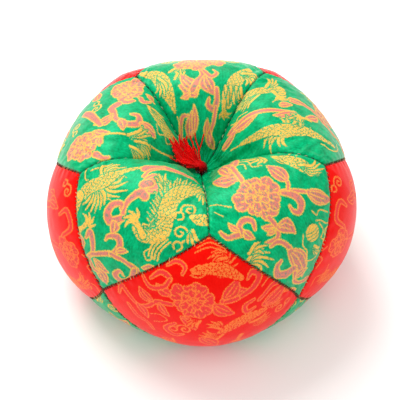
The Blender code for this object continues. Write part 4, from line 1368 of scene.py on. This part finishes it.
TIE_RADIUS = 0.62 * MM
TIE_STRANDS = 3
TASSEL_STRANDS = 90
STRAND_RADIUS = 0.24 * MM
TASSEL_POINTS = 14
# Painted shade: the darker red painted on the tassel's threads near their root, where they crowd together.
PAINTED_ROOT_SHADE = "#7A0206"  # between the threads, where little light gets in
TASSEL_TURNS = (95, 206)  # degrees about the axis, from the first strand to the last
CLOTH_CLEARANCE = 1.0 * MM
TASSEL_SWING = 15  # degrees each way round the tie
TASSEL_SEED = 5
STRAND_REACH = (6.8, 9.8)  # mm from the axis, least and most
LOOSE_REACH = (9.0, 11.5)  # the same for the few strands that stray
LOOSE_SHARE = 0.12
FAN_THICKNESS = 1.3  # mm at the free ends
ROOT_ARCH = 3 * MM  # how far the strands rise over the knot
FREE_RISE = 5.4 * MM  # and how far their ends stand over it where the cloth is lower
KNOT_THREAD = 0.55 * MM  # radius of the thread in the knot underneath
SEAT_THREAD = 0.3 * MM  # and in the knot on top
TIE_PITCH = 2.2e3  # radians of twist in each metre


def swept_tree():
    """Sweeps a round thread along each guide line and keeps where a point is round it and along it."""
    tree, given = new_group("swept_threads", "Threads", Guides="Geometry", Thread_Radius="Float",
                            Sides="Int",
                            Thread="Material")
    line = add_node(tree, "GeometryNodeMeshToCurve", {"Mesh": given["Guides"]})
    place = add_node(tree, "GeometryNodeSplineParameter")
    along = add_node(tree, "GeometryNodeStoreNamedAttribute", {"Geometry": line, "Name": "along",
                                                              "Value": place.outputs["Length"]},
                     data_type="FLOAT", domain="POINT")
    ring = add_node(tree, "GeometryNodeCurvePrimitiveCircle", {"Resolution": given["Sides"],
                                                              "Radius": given["Thread Radius"]})
    spot = add_node(tree, "GeometryNodeInputPosition")
    about = add_node(tree, "ShaderNodeVectorMath", {0: spot}, operation="NORMALIZE")
    around = add_node(tree, "GeometryNodeStoreNamedAttribute", {"Geometry": ring, "Name": "around",
                                                               "Value": about},
                      data_type="FLOAT_VECTOR", domain="POINT")
    tube = add_node(tree, "GeometryNodeCurveToMesh", {"Curve": along, "Profile Curve": around,
                                                     "Fill Caps": True})
    return finish_group(tree, tube, given["Thread"])


def twisted_thread(name, lit, shade, pitch, sheen, painted_shade_length=0.0):
    """Twisted thread: two plies that wind round each other, drawn at a pitch that still shows; given a root
    length, it is painted darker towards its root as painted shade between the threads.
    """
    material, tree = new_material(name)
    along = add_node(tree, "ShaderNodeAttribute", attribute_name="along").outputs["Fac"]
    around = add_node(tree, "ShaderNodeAttribute", attribute_name="around").outputs["Vector"]
    phase = add_node(tree, "ShaderNodeMath", {0: along, 1: 2 * math.pi / pitch}, operation="MULTIPLY")
    cosine = add_node(tree, "ShaderNodeMath", {0: phase}, operation="COSINE")
    sine = add_node(tree, "ShaderNodeMath", {0: phase}, operation="SINE")
    spoke = add_node(tree, "ShaderNodeCombineXYZ", {"X": cosine, "Y": sine})
    ply = add_node(tree, "ShaderNodeVectorMath", {0: spoke, 1: around},
                   operation="DOT_PRODUCT").outputs["Value"]
    share = add_node(tree, "ShaderNodeMath", {0: ply, 1: 0.5, 2: 0.5}, operation="MULTIPLY_ADD")
    place = add_node(tree, "ShaderNodeTexCoord").outputs["Object"]
    fibres = add_node(tree, "ShaderNodeTexNoise", {"Vector": place, "Scale": 2500.0, "Detail": 2.0})
    mixed = add_node(tree, "ShaderNodeMath", {0: fibres, 1: 0.5, 2: share}, operation="MULTIPLY_ADD")
    tint = add_node(tree, "ShaderNodeMapRange", {"Value": mixed, "From Min": -0.2, "From Max": 1.3})
    colour = add_node(tree, "ShaderNodeMix", {0: tint, 6: linear(shade), 7: linear(lit)}, data_type="RGBA")
    bump = add_node(tree, "ShaderNodeBump", {"Height": mixed, "Distance": 0.08 * MM})
    # Painted shade: the thread darkens over its first few millimetres, where the strands crowd round the
    # knot.
    if painted_shade_length:
        out = add_node(tree, "ShaderNodeMapRange", {"Value": along, "From Max": painted_shade_length})
        colour = add_node(tree, "ShaderNodeMix", {0: out, 6: linear(PAINTED_ROOT_SHADE), 7: colour.outputs[2]},
                          data_type="RGBA")
    add_shader(tree,
               {"Base Color": colour.outputs[2], "Normal": bump, "Roughness": 0.45,
                "Specular IOR Level": 0.25,
                      "Specular Tint": linear(lit), "Sheen Weight": sheen})
    return material


def thread_guides(name, lines):
    points = [point for course in lines for point in course]
    edges = []
    start = 0
    for course in lines:
        edges += [(start + i, start + i + 1) for i in range(len(course) - 1)]
        start += len(course)
    mesh = bpy.data.meshes.new(name)
    mesh.from_pydata([tuple(map(float, point)) for point in points], edges, [])
    return mesh


def wound(centre, radius, turns, tilt, thickness):
    """One thread wound round a ball, from near one end to near the other."""
    line = []
    for share in np.linspace(0, 1, int(turns * 14)):
        polar = math.pi * (0.12 + 0.76 * share)
        angle = 2 * math.pi * turns * share
        spot = np.array([math.sin(polar) * math.cos(angle), math.sin(polar) * math.sin(angle),
                         math.cos(polar)])
        lean = math.radians(tilt)
        turned = np.array([spot[0], spot[1] * math.cos(lean) - spot[2] * math.sin(lean),
                           spot[1] * math.sin(lean) + spot[2] * math.cos(lean)])
        line.append(centre + turned * (radius - thickness))
    return line


def node_middle(node):
    low, high = (np.array(corner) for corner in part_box(node))
    return (low + high) / 2, float((high - low).min() / 2)


def cloth_height(radius, turn):
    """Height over the table of the top petals' cloth at a distance from the axis."""
    above = (AXIS[0] + radius * math.cos(turn), AXIS[1] + radius * math.sin(turn), 0.1)
    seen = [petal.ray_cast(above, (0, 0, -1)) for petal in top_petals]
    return max((spot.z for found, spot, _, _ in seen if found), default=DIMPLE_FLOOR + MIDDLE_HEIGHT)


def highest_cloth(radius, turn):
    """The highest cloth that a strand passes over as the tassel swings round."""
    turns = [turn + math.radians(TASSEL_SWING * share) for share in (-1, -0.5, 0, 0.5, 1)]
    return max(cloth_height(radius, passed) for passed in turns)


def tassel_strands(root):
    """Guides that start round the knot, rise over it, then fall back against the dimple in a fan."""
    random = np.random.default_rng(TASSEL_SEED)
    first, last = (math.radians(turn) for turn in TASSEL_TURNS)
    lines = []
    for i in range(TASSEL_STRANDS):
        place = np.clip((i + random.uniform(-0.5, 0.5)) / (TASSEL_STRANDS - 1), 0, 1)
        turn = first + (last - first) * place ** 0.5
        loose = random.uniform() < LOOSE_SHARE
        reach = random.uniform(*(LOOSE_REACH if loose else STRAND_REACH)) * MM
        layer = random.uniform(0, FAN_THICKNESS) * MM
        swing = random.uniform(-0.3, 0.3) * (2 if loose else 1)
        lift = random.uniform(-1.0, 1.4) * MM
        spin = random.uniform(0, 2 * math.pi)
        start = root + np.array([math.cos(spin), math.sin(spin), 0]) * random.uniform(1.75, 2.15) * MM
        over = start * (0.7, 0.7, 0) + root * (0.3, 0.3, 0) + (0, 0, root[2] + ROOT_ARCH)
        line = []
        for share in np.linspace(0, 1, TASSEL_POINTS):
            radius = 0.5 * MM + (reach - 0.5 * MM) * share ** 1.15
            angle = turn + swing * share ** 2 + 0.05 * math.sin(9 * share + spin)
            height = highest_cloth(radius, angle) + CLOTH_CLEARANCE * min(1,
                                                                          share * 3) + layer * share ** 0.7
            free = root[2] + (FREE_RISE + lift) * share
            spot = (AXIS[0] + radius * math.cos(angle), AXIS[1] + radius * math.sin(angle),
                    max(height, free))
            rooted = max(0, 1 - share * 3.5)
            fallen = np.array(spot) * (1 - rooted) ** 2
            line.append(start * rooted ** 2 + over * 2 * rooted * (1 - rooted) + fallen)
        lines.append(line)
    return lines


bpy.context.view_layer.update()
top_petals = [bpy.data.objects[f"green_top_petal_{k + 1}"] for k in range(PETALS)]
threads = swept_tree()
# The last value is the length of painted shade at each strand's root.
silk = twisted_thread("red_silk_floss", "#FF0806", "#D80404", 0.9 * MM, 0.05, 7 * MM)
cotton = twisted_thread("twisted_cotton_cord", "#7A1210", "#4A0808", 1.6 * MM, 0.1)

tie_middle = (tie_low + tie_high) / 2
tie_line = [[np.array([tie_middle[0] + TIE_RADIUS * 0.45 * math.cos(height * TIE_PITCH + phase),
                       tie_middle[1] + TIE_RADIUS * 0.45 * math.sin(height * TIE_PITCH + phase), height])
             for height in np.linspace(tie_low[2], tie_high[2], 90)]
            for phase in (2 * math.pi * i / TIE_STRANDS for i in range(TIE_STRANDS))]
knot_middle, knot_radius = node_middle("tie_knot")
seat_middle, seat_radius = node_middle("tassel_knot")
knot_threads = [wound(knot_middle, knot_radius * share, turns, tilt, KNOT_THREAD)
                for share, turns, tilt in ((1.0, 5, 20), (0.9, 5, 75), (0.8, 4, 130))]
seat_threads = [wound(seat_middle - (0, 0, 0.5 * MM), seat_radius * share, turns, tilt, SEAT_THREAD)
                for share, turns, tilt in ((0.88, 4.5, 8), (0.76, 4, 60), (0.6, 3, 110))]
for name, node, body, lines, radius, sides, finish, slot in (
        ("twisted_tie", "tie_cord", "cushion", tie_line, TIE_RADIUS * 0.52, 8, cotton, "sewing_thread"),
        ("tie_knot_wound", "tie_knot", "cushion", knot_threads, KNOT_THREAD, 8, cotton, "sewing_thread"),
        ("tassel_knot_wound", "tassel_knot", "tassel_root", seat_threads, SEAT_THREAD, 6, cotton,
         "tassel_thread"),
        ("silk_tassel", tuple(f"tassel_lock_{i + 1}" for i in range(7)), "tassel",
         tassel_strands(seat_middle - (0, 0, 0.7 * MM)), STRAND_RADIUS, 6, silk, "tassel_thread")):
    item = made(name, thread_guides(name, lines), threads,
                {"Thread Radius": radius, "Sides": sides, "Thread": finish})
    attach(item, body)
    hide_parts(*([node] if isinstance(node, str) else node))
